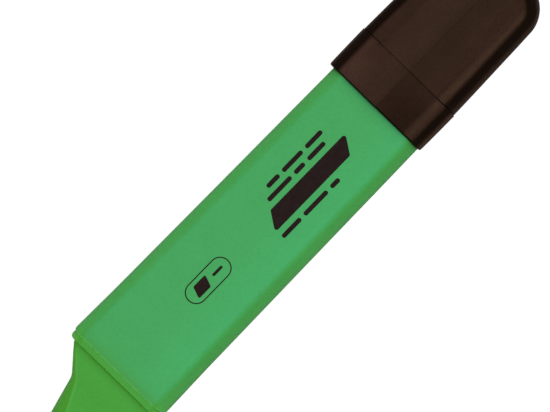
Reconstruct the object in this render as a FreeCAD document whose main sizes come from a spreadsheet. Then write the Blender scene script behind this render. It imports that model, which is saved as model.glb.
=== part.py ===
# Flat-bodied chisel-tip highlighter, lying on its wide face with the cap posted
# on the rear of the barrel.
#
# Frame: X runs along the pen (nib towards -X, closed end of the cap towards +X),
# Y across the wide face, Z up through the thickness. The origin is under the
# middle of the pen's length, on the surface that it rests on. Each piece is drawn
# about the pen's own centre line and is lifted to it by its Placement.
import FreeCAD, Part
import os
import re
import Sketcher

doc = FreeCAD.newDocument("highlighter")

# ---------------------------------------------------------------- dimensions (mm)
DIMS = [
    ("z_axis", 7.83, "height of the pen's centre line over the surface"),
    # stations along the pen
    ("x_nib_tip", -69.2, "leading corner of the chisel edge"),
    ("x_nib_heel", -66.7, "trailing corner of the chisel edge"),
    ("x_nib_wedge", -64.0, "where the nib starts to thin"),
    ("x_nib_tail", -35.3, "rear end of the nib, inside the reservoir"),
    ("x_nose_tip", -62.2, "open end of the nib holder"),
    ("x_nose_mid", -57.0, "middle section of the nose"),
    ("x_kink", -51.24, "shoulder turns into nose"),
    ("x_base", -45.80, "shoulder starts to narrow"),
    ("x_flange", -45.64, "front face of the nib holder's flange"),
    ("x_rim", -44.24, "front rim of the barrel"),
    ("x_skirt_end", -36.5, "rear end of the nib holder's skirt"),
    ("x_bore_step", -36.0, "end of the barrel's straight front bore"),
    ("x_rib_start", -35.9, "front end of the barrel's ribs"),
    ("x_flare", -32.6, "end of the barrel's flared front"),
    ("x_shoulder", 29.46, "rear shoulder of the barrel, where the cap's mouth stops"),
    ("x_floor", 36.4, "inside of the barrel's closed end"),
    ("x_rear", 37.8, "outside of the barrel's closed end"),
    ("x_step", 39.4, "end of the cap's skirt band"),
    ("x_cap_end", 69.2, "closed end of the cap"),
    # barrel, half widths (Y), half thicknesses (Z) and corner radii
    ("barrel_front_hw", 12.38, ""),
    ("barrel_front_ht", 7.75, ""),
    ("barrel_flare_hw", 12.14, ""),
    ("barrel_flare_ht", 7.50, ""),
    ("barrel_rear_hw", 11.64, ""),
    ("barrel_rear_ht", 6.95, ""),
    ("barrel_corner", 3.4, ""),
    ("flat_trim", 0.02, "depth of the true flat on each wide face"),
    ("barrel_rim_round", 0.35, "rounded outer edge of the front rim"),
    ("shoulder_round", 0.10, "broken edge of the rear shoulder"),
    ("spigot_hw", 11.30, "rear spigot at the shoulder"),
    ("spigot_ht", 6.61, ""),
    ("spigot_end_hw", 11.22, ""),
    ("spigot_end_ht", 6.53, ""),
    ("spigot_corner", 2.0, ""),
    ("spigot_round", 0.6, "rounded edge of the closed end"),
    ("bore_hw", 11.05, "straight front bore"),
    ("bore_ht", 6.40, ""),
    ("bore_corner", 2.4, ""),
    ("cavity_front_hw", 10.95, ""),
    ("cavity_front_ht", 6.30, ""),
    ("cavity_rear_hw", 10.15, ""),
    ("cavity_rear_ht", 5.40, ""),
    ("cavity_corner", 2.2, ""),
    ("rib_thick", 1.0, "ribs that hold the reservoir"),
    ("rib_top_z", 4.55, ""),
    ("rib_foot_z", 6.50, ""),
    ("rib_offset_y", 5.0, ""),
    ("rib_top_y", 9.10, ""),
    ("rib_foot_y", 11.15, ""),
    ("bead_x", -39.4, "snap bead between nib holder and barrel"),
    ("bead_z", 6.30, ""),
    ("bead_radius", 0.35, ""),
    ("bead_groove_radius", 0.40, ""),
    ("bead_len", 14.0, ""),
    # nib holder
    ("flange_hw", 12.10, ""),
    ("flange_ht", 7.47, ""),
    ("flange_corner", 3.15, ""),
    ("flange_round", 0.6, "rounded front edge of the flange"),
    ("base_hw", 10.84, ""),
    ("base_ht", 6.35, ""),
    ("base_corner", 0.80, ""),
    ("kink_hw", 6.20, ""),
    ("kink_ht", 5.18, ""),
    ("kink_corner", 1.45, ""),
    ("mid_hw", 4.72, ""),
    ("mid_ht", 4.03, ""),
    ("mid_corner", 2.80, ""),
    ("nose_hw", 3.38, ""),
    ("nose_ht", 3.00, ""),
    ("nose_corner", 2.90, ""),
    ("nose_round", 0.30, "rounded edge of the open end"),
    ("skirt_hw", 11.03, "skirt that plugs into the barrel"),
    ("skirt_ht", 6.38, ""),
    ("skirt_corner", 2.38, ""),
    ("skirt_lead", 0.40, "lead-in at the skirt's end"),
    ("holder_in_hw", 9.60, "inside of the skirt"),
    ("holder_in_ht", 4.95, ""),
    ("holder_in_corner", 2.0, ""),
    ("x_holder_in", -45.2, "end of the straight inside"),
    ("x_channel", -50.4, "start of the nib channel"),
    ("throat_hw", 4.90, ""),
    ("throat_ht", 4.00, ""),
    ("throat_corner", 1.2, ""),
    ("channel_hw", 2.52, "nib channel"),
    ("channel_ht", 1.82, ""),
    ("channel_corner", 0.60, ""),
    ("vent_w", 0.60, "air grooves beside the nib"),
    ("vent_y", 2.95, ""),
    ("stop_y", 4.10, "stop ribs in front of the reservoir"),
    ("stop_thick", 1.0, ""),
    ("x_stop", -40.0, ""),
    ("x_stop_front", -48.6, ""),
    # nib
    ("nib_hw", 2.50, ""),
    ("nib_ht", 1.80, ""),
    ("nib_edge_ht", 0.55, "half thickness of the chisel edge"),
    ("nib_round", 0.55, "rounded long edges"),
    ("nib_tail_hw", 1.60, ""),
    ("nib_tail_len", 2.2, ""),
    # reservoir
    ("core_hw", 8.90, ""),
    ("core_ht", 4.35, ""),
    ("core_corner", 3.90, ""),
    ("film", 0.15, "wrap thickness"),
    ("x_wrap_front", -39.6, ""),
    ("x_wrap_rear", 35.9, ""),
    ("x_core_rear", 36.3, ""),
    ("slit_hw", 2.55, "slit that takes the nib's tail"),
    ("slit_ht", 1.85, ""),
    ("x_slit_end", -35.2, ""),
    # cap
    ("mouth_hw", 12.51, ""),
    ("mouth_ht", 7.83, ""),
    ("band_hw", 12.59, ""),
    ("band_ht", 7.83, ""),
    ("band_corner", 3.4, ""),
    ("mouth_round", 0.40, ""),
    ("crown_hw", 12.43, "upper part of the cap at the step"),
    ("crown_ht", 7.67, ""),
    ("crown_end_hw", 11.79, ""),
    ("crown_end_ht", 7.25, ""),
    ("crown_end_sag", 1.17, "how far the arched end falls back at its corners"),
    ("crown_plan_round", 7.28, "round corners of the closed end"),
    ("crown_edge_round", 3.4, "rounded long edges"),
    ("cap_in_mouth_hw", 11.36, ""),
    ("cap_in_mouth_ht", 6.67, ""),
    ("cap_in_step_hw", 11.28, ""),
    ("cap_in_step_ht", 6.59, ""),
    ("x_cap_in_step", 38.2, ""),
    ("cap_in_far_hw", 10.75, ""),
    ("cap_in_far_ht", 6.10, ""),
    ("x_cap_in_far", 61.0, ""),
    ("cap_in_turn_hw", 8.90, ""),
    ("cap_in_turn_ht", 5.60, ""),
    ("x_cap_in_turn", 65.6, ""),
    ("cap_in_end_hw", 6.90, ""),
    ("cap_in_end_ht", 5.00, ""),
    ("x_cap_in_end", 67.9, ""),
    ("cap_in_corner", 2.0, ""),
    ("cap_rib_y", 4.0, "ribs behind the inner cap"),
    ("cap_rib_thick", 1.2, ""),
    ("cap_rib_top", 3.2, ""),
    ("cap_rib_foot", 6.4, ""),
    ("x_cap_rib_end", 66.0, ""),
    ("cap_bead_x", 57.6, "bead in front of the inner cap's plate"),
    ("cap_bead_z", 6.30, ""),
    ("cap_bead_len", 9.0, ""),
    # inner cap
    ("x_plate_front", 58.0, ""),
    ("x_plate_back", 59.2, ""),
    ("plate_hw", 10.72, ""),
    ("plate_ht", 6.06, ""),
    ("plate_corner", 2.4, ""),
    ("x_lip", 40.5, "lip that seals on the nose"),
    ("lip_hw", 4.78, ""),
    ("lip_ht", 4.07, ""),
    ("lip_corner", 2.70, ""),
    ("lip_out_hw", 5.50, ""),
    ("lip_out_ht", 4.80, ""),
    ("lip_out_corner", 3.40, ""),
    ("sleeve_in_hw", 3.90, ""),
    ("sleeve_in_ht", 3.50, ""),
    ("sleeve_in_corner", 2.40, ""),
    ("sleeve_out_hw", 4.90, ""),
    ("sleeve_out_ht", 4.50, ""),
    ("sleeve_out_corner", 3.20, ""),
]

sheet = doc.addObject("Spreadsheet::Sheet", "Dims")
sheet.Label = "Dims"
D = {}
for row, (alias, value, note) in enumerate(DIMS, start=1):
    sheet.set(f"A{row}", alias)
    sheet.set(f"B{row}", str(value))
    sheet.setAlias(f"B{row}", alias)
    if note:
        sheet.set(f"C{row}", note)
    D[alias] = value
doc.recompute()


# ---------------------------------------------------------------- helpers
def plane(body, role):
    """One of the body's own origin planes."""
    return next(f for f in body.Origin.OriginFeatures if f.Role == role)


def new_body(label):
    body = doc.addObject("PartDesign::Body", label)
    body.Label = label
    body.setExpression("Placement.Base.z", "Dims.z_axis")
    return body


def new_sketch(body, name, role, at=None):
    s = body.newObject("Sketcher::SketchObject", name)
    s.AttachmentSupport = [(plane(body, role), "")]
    s.MapMode = "FlatFace"
    if at is not None:
        s.setExpression("AttachmentOffset.Base.z", at)
    return s


def value_of(text):
    """The number that a sum of products over the sheet's aliases stands for."""
    tokens = re.findall(r"Dims\.\w+|\d+\.?\d*|[-+*/]", text)
    total, sign, product, divide = 0.0, 1.0, None, False
    for token in tokens:
        if token in "+-":
            if product is not None:
                total += sign * product
                sign, product = 1.0, None
            if token == "-":
                sign = -sign
        elif token in "*/":
            divide = token == "/"
        else:
            number = D[token[5:]] if token.startswith("Dims.") else float(token)
            if product is None:
                product = number
            elif divide:
                product /= number
            else:
                product *= number
            divide = False
    return total + sign * product


def rounded(body, name, at, hw, ht, r):
    """A rounded rectangle square to the pen's axis at station `at`: half width along Y,
    half height along Z and corner radius, each an expression over the sheet."""
    s = new_sketch(body, name, "YZ_Plane", at)
    w, t, c = value_of(hw), value_of(ht), value_of(r)
    V = FreeCAD.Vector
    from math import pi

    g = [
        Part.LineSegment(V(-w + c, -t, 0), V(w - c, -t, 0)),
        Part.ArcOfCircle(Part.Circle(V(w - c, -t + c, 0), V(0, 0, 1), c), -pi / 2, 0),
        Part.LineSegment(V(w, -t + c, 0), V(w, t - c, 0)),
        Part.ArcOfCircle(Part.Circle(V(w - c, t - c, 0), V(0, 0, 1), c), 0, pi / 2),
        Part.LineSegment(V(w - c, t, 0), V(-w + c, t, 0)),
        Part.ArcOfCircle(Part.Circle(V(-w + c, t - c, 0), V(0, 0, 1), c), pi / 2, pi),
        Part.LineSegment(V(-w, t - c, 0), V(-w, -t + c, 0)),
        Part.ArcOfCircle(
            Part.Circle(V(-w + c, -t + c, 0), V(0, 0, 1), c), pi, 1.5 * pi
        ),
    ]
    s.addGeometry(g, False)
    K = Sketcher.Constraint
    for i in range(8):
        s.addConstraint(K("Tangent", i, 2, (i + 1) % 8, 1))
    s.addConstraint(K("Horizontal", 0))
    s.addConstraint(K("Horizontal", 4))
    s.addConstraint(K("Vertical", 2))
    s.addConstraint(K("Vertical", 6))
    for i in (3, 5, 7):
        s.addConstraint(K("Equal", 1, i))
    named = [
        ("right", K("DistanceX", -1, 1, 2, 1, w), hw),
        ("left", K("DistanceX", 6, 1, -1, 1, w), hw),
        ("top", K("DistanceY", -1, 1, 4, 1, t), ht),
        ("bottom", K("DistanceY", 0, 1, -1, 1, t), ht),
        ("corner", K("Radius", 1, c), r),
    ]
    for label, con, expr in named:
        i = s.addConstraint(con)
        s.renameConstraint(i, label)
        s.setExpression("Constraints." + label, expr)
    return s


def outline(body, name, role, points, at=None, arcs=None):
    """A closed outline through points given as pairs of expressions in the sketch's own
    plane. arcs maps the index of an edge to the point that it bows through."""
    s = new_sketch(body, name, role, at)
    arcs = arcs or {}
    V = FreeCAD.Vector
    xy = [(value_of(a), value_of(b)) for a, b in points]
    n = len(xy)
    K = Sketcher.Constraint
    ends = []  # (geometry index, which end starts the edge, which end ends it)
    for i in range(n):
        a, b = xy[i], xy[(i + 1) % n]
        if i in arcs:
            m = (value_of(arcs[i][0]), value_of(arcs[i][1]))
            arc = Part.Arc(V(*a, 0), V(*m, 0), V(*b, 0))
            k = s.addGeometry(arc, False)
            q = s.Geometry[k]
            start_is_a = (q.StartPoint - V(*a, 0)).Length < 1e-6
            ends.append((k, 1, 2) if start_is_a else (k, 2, 1))
        else:
            k = s.addGeometry(Part.LineSegment(V(*a, 0), V(*b, 0)), False)
            ends.append((k, 1, 2))
    for i in range(n):
        s.addConstraint(
            K("Coincident", ends[i][0], ends[i][2], ends[(i + 1) % n][0], ends[(i + 1) % n][1])
        )
    for i in range(n):
        for axis, kind in ((0, "DistanceX"), (1, "DistanceY")):
            v = xy[i][axis]
            if abs(v) < 1e-9:
                s.addConstraint(
                    K("PointOnObject", ends[i][0], ends[i][1], -2 if axis == 0 else -1)
                )
                continue
            # a datum is written from the smaller coordinate to the larger one
            if v > 0:
                k = s.addConstraint(K(kind, -1, 1, ends[i][0], ends[i][1], v))
                expr = points[i][axis]
            else:
                k = s.addConstraint(K(kind, ends[i][0], ends[i][1], -1, 1, -v))
                expr = f"-({points[i][axis]})"
            label = f"p{i}{'xy'[axis]}"
            s.renameConstraint(k, label)
            s.setExpression("Constraints." + label, expr)
    for i, (mx, my) in arcs.items():
        k = s.addGeometry(Part.Point(V(value_of(mx), value_of(my), 0)), True)
        s.addConstraint(K("PointOnObject", k, 1, ends[i][0]))
        for axis, kind, e in ((0, "DistanceX", mx), (1, "DistanceY", my)):
            v = value_of(e)
            if abs(v) < 1e-9:
                s.addConstraint(K("PointOnObject", k, 1, -2 if axis == 0 else -1))
            else:
                c = s.addConstraint(
                    K(kind, -1, 1, k, 1, v) if v > 0 else K(kind, k, 1, -1, 1, -v)
                )
                label = f"m{i}{'xy'[axis]}"
                s.renameConstraint(c, label)
                s.setExpression("Constraints." + label, e if v > 0 else f"-({e})")
    return s


def rounded_end(body, name, at, away, hw, ht, r, by, inner_first=True):
    """Three sections that turn an end's edge over by the radius `by`. `away` is the sign
    of X from the end face into the solid."""
    sign = "+" if away > 0 else "-"
    out = []
    for i, (along, off) in enumerate(((0.0, 1.0), (0.29, 0.29), (1.0, 0.0))):
        out.append(
            rounded(
                body, f"{name}_{i}", f"{at} {sign} {by} * {along}",
                f"{hw} - {by} * {off}", f"{ht} - {by} * {off}", f"{r} - {by} * {off}",
            )
        )
    return out if inner_first else out[::-1]


def loft(body, name, sketches, cut=False):
    kind = "PartDesign::SubtractiveLoft" if cut else "PartDesign::AdditiveLoft"
    f = body.newObject(kind, name)
    f.Profile = sketches[0]
    f.Sections = [(s, "") for s in sketches[1:]]
    f.Ruled = True
    return f


def pad(body, name, sketch, length, reverse=False, midplane=False):
    f = body.newObject("PartDesign::Pad", name)
    f.Profile = sketch
    f.setExpression("Length", length)
    f.Reversed = reverse
    f.Midplane = midplane
    return f


def pocket(body, name, sketch, length, reverse=False, midplane=False):
    f = body.newObject("PartDesign::Pocket", name)
    f.Profile = sketch
    f.setExpression("Length", length)
    f.Reversed = reverse
    f.Midplane = midplane
    return f


def edges_where(feature, test):
    """Names of the feature's edges whose sampled points all pass the test."""
    doc.recompute()
    names = []
    for i, e in enumerate(feature.Shape.Edges, start=1):
        a, b = e.ParameterRange
        pts = [e.valueAt(a + (b - a) * k / 4.0) for k in range(5)]
        if all(test(p) for p in pts):
            names.append(f"Edge{i}")
    if not names:
        raise RuntimeError(f"{feature.Name}: no edge matches")
    return names


def fillet(body, name, base, names, radius):
    f = body.newObject("PartDesign::Fillet", name)
    f.Base = (base, names)
    f.setExpression("Radius", radius)
    return f


def chamfer(body, name, base, names, size):
    f = body.newObject("PartDesign::Chamfer", name)
    f.Base = (base, names)
    f.setExpression("Size", size)
    return f


def near(a, b, tol=1e-3):
    return abs(a - b) < tol


# ---------------------------------------------------------------- barrel
# A blind shell moulded in one piece: flared front rim, drafted body, and a rear
# spigot one step smaller that the cap is posted on.
barrel = new_body("barrel")
B = "Dims."
rim = rounded_end(barrel, "rim", B + "x_rim", 1, B + "barrel_front_hw", B + "barrel_front_ht", B + "barrel_corner", B + "barrel_rim_round")
s2 = rounded(barrel, "barrel_flare", B + "x_flare", B + "barrel_flare_hw", B + "barrel_flare_ht", B + "barrel_corner")
back = rounded_end(barrel, "shoulder", B + "x_shoulder", -1, B + "barrel_rear_hw", B + "barrel_rear_ht", B + "barrel_corner", B + "shoulder_round", inner_first=False)
body_loft = loft(barrel, "barrel_body", rim + [s2] + back)
s4 = rounded(barrel, "spigot_start", B + "x_shoulder", B + "spigot_hw", B + "spigot_ht", B + "spigot_corner")
tail = rounded_end(barrel, "spigot_stop", B + "x_rear", -1, B + "spigot_end_hw", B + "spigot_end_ht", B + "spigot_corner", B + "spigot_round", inner_first=False)
spigot = loft(barrel, "spigot", [s4] + tail)
s6 = rounded(barrel, "bore", B + "x_rim", B + "bore_hw", B + "bore_ht", B + "bore_corner")
bore = pocket(barrel, "front_bore", s6, "Dims.x_bore_step - Dims.x_rim", reverse=True)
s7 = rounded(barrel, "cavity_front", B + "x_bore_step", B + "cavity_front_hw", B + "cavity_front_ht", B + "cavity_corner")
s8 = rounded(barrel, "cavity_rear", B + "x_floor", B + "cavity_rear_hw", B + "cavity_rear_ht", B + "cavity_corner")
cavity = loft(barrel, "cavity", [s7, s8], cut=True)
# The wide faces are trimmed true flat between the flare and the shoulder.
for name, side in (("flat_top", ""), ("flat_under", "-")):
    flat_sk = outline(
        barrel, name + "_section", "XZ_Plane",
        [
            ("Dims.x_flare", f"{side}Dims.barrel_flare_ht {'+' if side else '-'} Dims.flat_trim"),
            ("Dims.x_shoulder", f"{side}Dims.barrel_rear_ht {'+' if side else '-'} Dims.flat_trim"),
            ("Dims.x_shoulder", f"0 {side or '+'} Dims.barrel_front_ht {side or '+'} 1"),
            ("Dims.x_flare", f"0 {side or '+'} Dims.barrel_front_ht {side or '+'} 1"),
        ],
    )
    pocket(barrel, name, flat_sk, "Dims.band_hw * 4", midplane=True)
# Six ribs hold the reservoir clear of the walls.
ribs = new_sketch(barrel, "rib_sections", "YZ_Plane", B + "x_rib_start")
V = FreeCAD.Vector
K = Sketcher.Constraint


def box_in(sketch, tag, x0, x1, y0, y1):
    """An axis-aligned rectangle between expressions, fully dimensioned from the origin."""
    a, b, c, d = (value_of(e) for e in (x0, x1, y0, y1))
    n = len(sketch.Geometry)
    pts = [(a, c), (b, c), (b, d), (a, d)]
    for i in range(4):
        sketch.addGeometry(
            Part.LineSegment(V(*pts[i], 0), V(*pts[(i + 1) % 4], 0)), False
        )
    for i in range(4):
        sketch.addConstraint(K("Coincident", n + i, 2, n + (i + 1) % 4, 1))
    sketch.addConstraint(K("Horizontal", n))
    sketch.addConstraint(K("Vertical", n + 1))
    sketch.addConstraint(K("Horizontal", n + 2))
    sketch.addConstraint(K("Vertical", n + 3))
    for label, kind, v, e, pt in (
        ("xa", "DistanceX", a, x0, (n, 1)),
        ("xb", "DistanceX", b, x1, (n + 1, 1)),
        ("ya", "DistanceY", c, y0, (n, 1)),
        ("yb", "DistanceY", d, y1, (n + 2, 1)),
    ):
        if v > 0:
            k = sketch.addConstraint(K(kind, -1, 1, pt[0], pt[1], v))
            sketch.renameConstraint(k, tag + label)
            sketch.setExpression("Constraints." + tag + label, e)
        else:
            k = sketch.addConstraint(K(kind, pt[0], pt[1], -1, 1, -v))
            sketch.renameConstraint(k, tag + label)
            sketch.setExpression("Constraints." + tag + label, f"-({e})")


H = "Dims.rib_thick / 2"
for j, (sy, sz) in enumerate(((1, 1), (-1, 1), (1, -1), (-1, -1))):
    yc = "Dims.rib_offset_y" if sy > 0 else "-Dims.rib_offset_y"
    z0, z1 = ("Dims.rib_top_z", "Dims.rib_foot_z") if sz > 0 else ("-Dims.rib_foot_z", "-Dims.rib_top_z")
    box_in(ribs, f"w{j}", f"{yc} - {H}", f"{yc} + {H}", z0, z1)
for j, sy in enumerate((1, -1)):
    y0, y1 = ("Dims.rib_top_y", "Dims.rib_foot_y") if sy > 0 else ("-Dims.rib_foot_y", "-Dims.rib_top_y")
    box_in(ribs, f"n{j}", y0, y1, f"0 - {H}", f"0 + {H}")
rib_pad = pad(barrel, "ribs", ribs, "Dims.x_floor - Dims.x_rib_start + 0.2")
# Snap grooves for the nib holder's beads, one on each wide side.
groove_sk = new_sketch(barrel, "groove_section", "XZ_Plane", "Dims.bead_len / 2 + 0.2")


def disc(sketch, tag, x, y, r):
    """A circle at (x, y) of the sketch, expressions over the sheet."""
    a, b, c = value_of(x), value_of(y), value_of(r)
    n = sketch.addGeometry(Part.Circle(V(a, b, 0), V(0, 0, 1), c), False)
    for label, kind, v, e in (("x", "DistanceX", a, x), ("y", "DistanceY", b, y)):
        k = sketch.addConstraint(
            K(kind, -1, 1, n, 3, v) if v > 0 else K(kind, n, 3, -1, 1, -v)
        )
        sketch.renameConstraint(k, tag + label)
        sketch.setExpression("Constraints." + tag + label, e if v > 0 else f"-({e})")
    k = sketch.addConstraint(K("Radius", n, c))
    sketch.renameConstraint(k, tag + "r")
    sketch.setExpression("Constraints." + tag + "r", r)


disc(groove_sk, "up", "Dims.bead_x", "Dims.bead_z", "Dims.bead_groove_radius")
disc(groove_sk, "dn", "Dims.bead_x", "-Dims.bead_z", "Dims.bead_groove_radius")
grooves = pocket(barrel, "snap_grooves", groove_sk, "Dims.bead_len + 0.4")
barrel.Tip = grooves

# ---------------------------------------------------------------- nib holder
# Flange that meets the barrel's rim, steep shoulder, tapering nose that turns from a
# rounded rectangle into a nearly round end, and a skirt that plugs into the barrel.
holder = new_body("nib_holder")
h1 = rounded(holder, "flange_section", B + "x_flange", B + "flange_hw", B + "flange_ht", B + "flange_corner")
flange = pad(holder, "flange", h1, "Dims.x_rim - Dims.x_flange")
f4 = fillet(
    holder, "flange_edge", flange,
    edges_where(flange, lambda p: near(p.x, D["x_flange"])), B + "flange_round",
)
h2 = rounded(holder, "base_root", "Dims.x_flange", B + "base_hw", "Dims.base_ht + 0.03", B + "base_corner")
h3 = rounded(holder, "base", B + "x_base", B + "base_hw", B + "base_ht", B + "base_corner")
h4 = rounded(holder, "kink", B + "x_kink", B + "kink_hw", B + "kink_ht", B + "kink_corner")
h5 = rounded(holder, "nose_mid", B + "x_nose_mid", B + "mid_hw", B + "mid_ht", B + "mid_corner")
h6 = rounded_end(holder, "nose_tip", B + "x_nose_tip", 1, B + "nose_hw", B + "nose_ht", B + "nose_corner", B + "nose_round", inner_first=False)
nose = loft(holder, "nose", [h2, h3, h4, h5] + h6)
h7 = rounded(holder, "skirt_section", B + "x_rim", B + "skirt_hw", B + "skirt_ht", B + "skirt_corner")
skirt = pad(holder, "skirt", h7, "Dims.x_skirt_end - Dims.x_rim")
f6 = chamfer(
    holder, "skirt_lead", skirt,
    edges_where(skirt, lambda p: near(p.x, D["x_skirt_end"])), B + "skirt_lead",
)
bead_sk = new_sketch(holder, "bead_section", "XZ_Plane", "Dims.bead_len / 2")
disc(bead_sk, "up", "Dims.bead_x", "Dims.bead_z", "Dims.bead_radius")
disc(bead_sk, "dn", "Dims.bead_x", "-Dims.bead_z", "Dims.bead_radius")
beads = pad(holder, "snap_beads", bead_sk, "Dims.bead_len", reverse=True)
h8 = rounded(holder, "inside_section", B + "x_skirt_end", B + "holder_in_hw", B + "holder_in_ht", B + "holder_in_corner")
inside = pocket(holder, "inside", h8, "Dims.x_skirt_end - Dims.x_holder_in")
h9 = rounded(holder, "throat_wide", B + "x_holder_in", B + "holder_in_hw", B + "holder_in_ht", B + "holder_in_corner")
h10 = rounded(holder, "throat_end", B + "x_channel", B + "throat_hw", B + "throat_ht", B + "throat_corner")
throat = loft(holder, "throat", [h9, h10], cut=True)
h11 = rounded(holder, "channel_section", B + "x_channel", B + "channel_hw", B + "channel_ht", B + "channel_corner")
channel = pocket(holder, "channel", h11, "Dims.x_channel - Dims.x_nose_tip + 1")
vents = new_sketch(holder, "vent_sections", "YZ_Plane", B + "x_channel")
box_in(vents, "a", "Dims.channel_hw - 0.3", "Dims.vent_y", "0 - Dims.vent_w / 2", "0 + Dims.vent_w / 2")
box_in(vents, "b", "-Dims.vent_y", "0.3 - Dims.channel_hw", "0 - Dims.vent_w / 2", "0 + Dims.vent_w / 2")
vent_cut = pocket(holder, "vents", vents, "Dims.x_channel - Dims.x_nose_tip + 1")
stops = new_sketch(holder, "stop_sections", "YZ_Plane", B + "x_stop_front")
box_in(stops, "a", "Dims.stop_y - Dims.stop_thick / 2", "Dims.stop_y + Dims.stop_thick / 2", "0 - Dims.holder_in_ht", "0 + Dims.holder_in_ht")
box_in(stops, "b", "0 - Dims.stop_y - Dims.stop_thick / 2", "0 - Dims.stop_y + Dims.stop_thick / 2", "0 - Dims.holder_in_ht", "0 + Dims.holder_in_ht")
stop_pad = pad(holder, "stop_ribs", stops, "Dims.x_stop - Dims.x_stop_front")
holder.Tip = stop_pad

# ---------------------------------------------------------------- nib
# A block of bonded fibre, cut to a slanted chisel edge, with a narrowed tail.
nib = new_body("chisel_nib")
n1 = outline(
    nib, "nib_plan", "XY_Plane",
    [
        ("Dims.x_nib_tip", "-Dims.nib_hw"),
        ("Dims.x_nib_tail - Dims.nib_tail_len", "-Dims.nib_hw"),
        ("Dims.x_nib_tail", "-Dims.nib_tail_hw"),
        ("Dims.x_nib_tail", "Dims.nib_tail_hw"),
        ("Dims.x_nib_tail - Dims.nib_tail_len", "Dims.nib_hw"),
        ("Dims.x_nib_heel", "Dims.nib_hw"),
    ],
)
block = pad(nib, "nib_block", n1, "Dims.nib_ht * 2", midplane=True)
f7 = fillet(
    nib, "nib_long_edges", block,
    edges_where(block, lambda p: near(abs(p.z), D["nib_ht"]) and near(abs(p.y), D["nib_hw"])),
    B + "nib_round",
)
n2 = outline(
    nib, "wedge_top", "XZ_Plane",
    [
        ("Dims.x_nib_wedge", "Dims.nib_ht"),
        ("Dims.x_nib_tip", "Dims.nib_edge_ht"),
        ("Dims.x_nib_tip - 2", "Dims.nib_edge_ht - 0.3"),
        ("Dims.x_nib_tip - 2", "Dims.nib_ht + 2"),
        ("Dims.x_nib_wedge", "Dims.nib_ht + 2"),
    ],
)
w1 = pocket(nib, "wedge_cut_top", n2, "Dims.nib_hw * 4", midplane=True)
n3 = outline(
    nib, "wedge_under", "XZ_Plane",
    [
        ("Dims.x_nib_wedge", "-Dims.nib_ht"),
        ("Dims.x_nib_tip", "-Dims.nib_edge_ht"),
        ("Dims.x_nib_tip - 2", "0.3 - Dims.nib_edge_ht"),
        ("Dims.x_nib_tip - 2", "0 - Dims.nib_ht - 2"),
        ("Dims.x_nib_wedge", "0 - Dims.nib_ht - 2"),
    ],
)
w2 = pocket(nib, "wedge_cut_under", n3, "Dims.nib_hw * 4", midplane=True)
nib.Tip = w2

# ---------------------------------------------------------------- reservoir
# Polyester fibre pad, with a slit in its front end that takes the nib's tail.
core = new_body("ink_reservoir")
c1 = rounded(core, "pad_section", B + "x_stop", B + "core_hw", B + "core_ht", B + "core_corner")
core_pad = pad(core, "fibre_pad", c1, "Dims.x_core_rear - Dims.x_stop")
c2 = new_sketch(core, "slit_section", "YZ_Plane", B + "x_stop")
box_in(c2, "s", "0 - Dims.slit_hw", "0 + Dims.slit_hw", "0 - Dims.slit_ht", "0 + Dims.slit_ht")
slit = pocket(core, "nib_slit", c2, "Dims.x_slit_end - Dims.x_stop", reverse=True)
core.Tip = slit

# Thin film wrapped round the pad, open at both ends.
wrap = new_body("reservoir_wrap")
k1 = rounded(wrap, "wrap_outer", B + "x_wrap_front", "Dims.core_hw + Dims.film", "Dims.core_ht + Dims.film", "Dims.core_corner + Dims.film")
wrap_pad = pad(wrap, "wrap_tube", k1, "Dims.x_wrap_rear - Dims.x_wrap_front")
k2 = rounded(wrap, "wrap_inner", B + "x_wrap_front", B + "core_hw", B + "core_ht", B + "core_corner")
wrap_cut = pocket(wrap, "wrap_hollow", k2, "Dims.x_wrap_rear - Dims.x_wrap_front", reverse=True)
wrap.Tip = wrap_cut

# ---------------------------------------------------------------- cap
# One moulding: a skirt band at the mouth, then a very slightly smaller crown whose
# closed end has round corners.
cap = new_body("cap")
p1 = outline(
    cap, "crown_plan", "XY_Plane",
    [
        ("Dims.x_step - 0.6", "-Dims.crown_hw"),
        ("Dims.x_cap_end - Dims.crown_end_sag", "-Dims.crown_end_hw"),
        ("Dims.x_cap_end - Dims.crown_end_sag", "Dims.crown_end_hw"),
        ("Dims.x_step - 0.6", "Dims.crown_hw"),
    ],
    arcs={1: ("Dims.x_cap_end", "0")},
)
crown = pad(cap, "crown", p1, "Dims.crown_ht * 2", midplane=True)
p2 = outline(
    cap, "crown_slope_top", "XZ_Plane",
    [
        ("Dims.x_step - 0.6", "Dims.crown_ht"),
        ("Dims.x_cap_end + 1", "Dims.crown_end_ht"),
        ("Dims.x_cap_end + 1", "Dims.crown_ht + 1"),
        ("Dims.x_step - 0.6", "Dims.crown_ht + 1"),
    ],
)
t1 = pocket(cap, "crown_cut_top", p2, "Dims.band_hw * 4", midplane=True)
p3 = outline(
    cap, "crown_slope_under", "XZ_Plane",
    [
        ("Dims.x_step - 0.6", "-Dims.crown_ht"),
        ("Dims.x_cap_end + 1", "-Dims.crown_end_ht"),
        ("Dims.x_cap_end + 1", "0 - Dims.crown_ht - 1"),
        ("Dims.x_step - 0.6", "0 - Dims.crown_ht - 1"),
    ],
)
t2 = pocket(cap, "crown_cut_under", p3, "Dims.band_hw * 4", midplane=True)
f8 = fillet(
    cap, "crown_corners", t2,
    edges_where(t2, lambda p: near(abs(p.y), D["crown_end_hw"], 0.01) and p.x > D["x_cap_end"] - 3),
    B + "crown_plan_round",
)
f9 = fillet(
    cap, "crown_edges", f8,
    edges_where(f8, lambda p: abs(p.z) > D["crown_end_ht"] - 0.4 and p.x > D["x_step"] - 0.61 and not (near(p.x, D["x_step"] - 0.6, 0.02) and abs(p.y) < D["crown_hw"] - 0.01)),
    B + "crown_edge_round",
)
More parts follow.
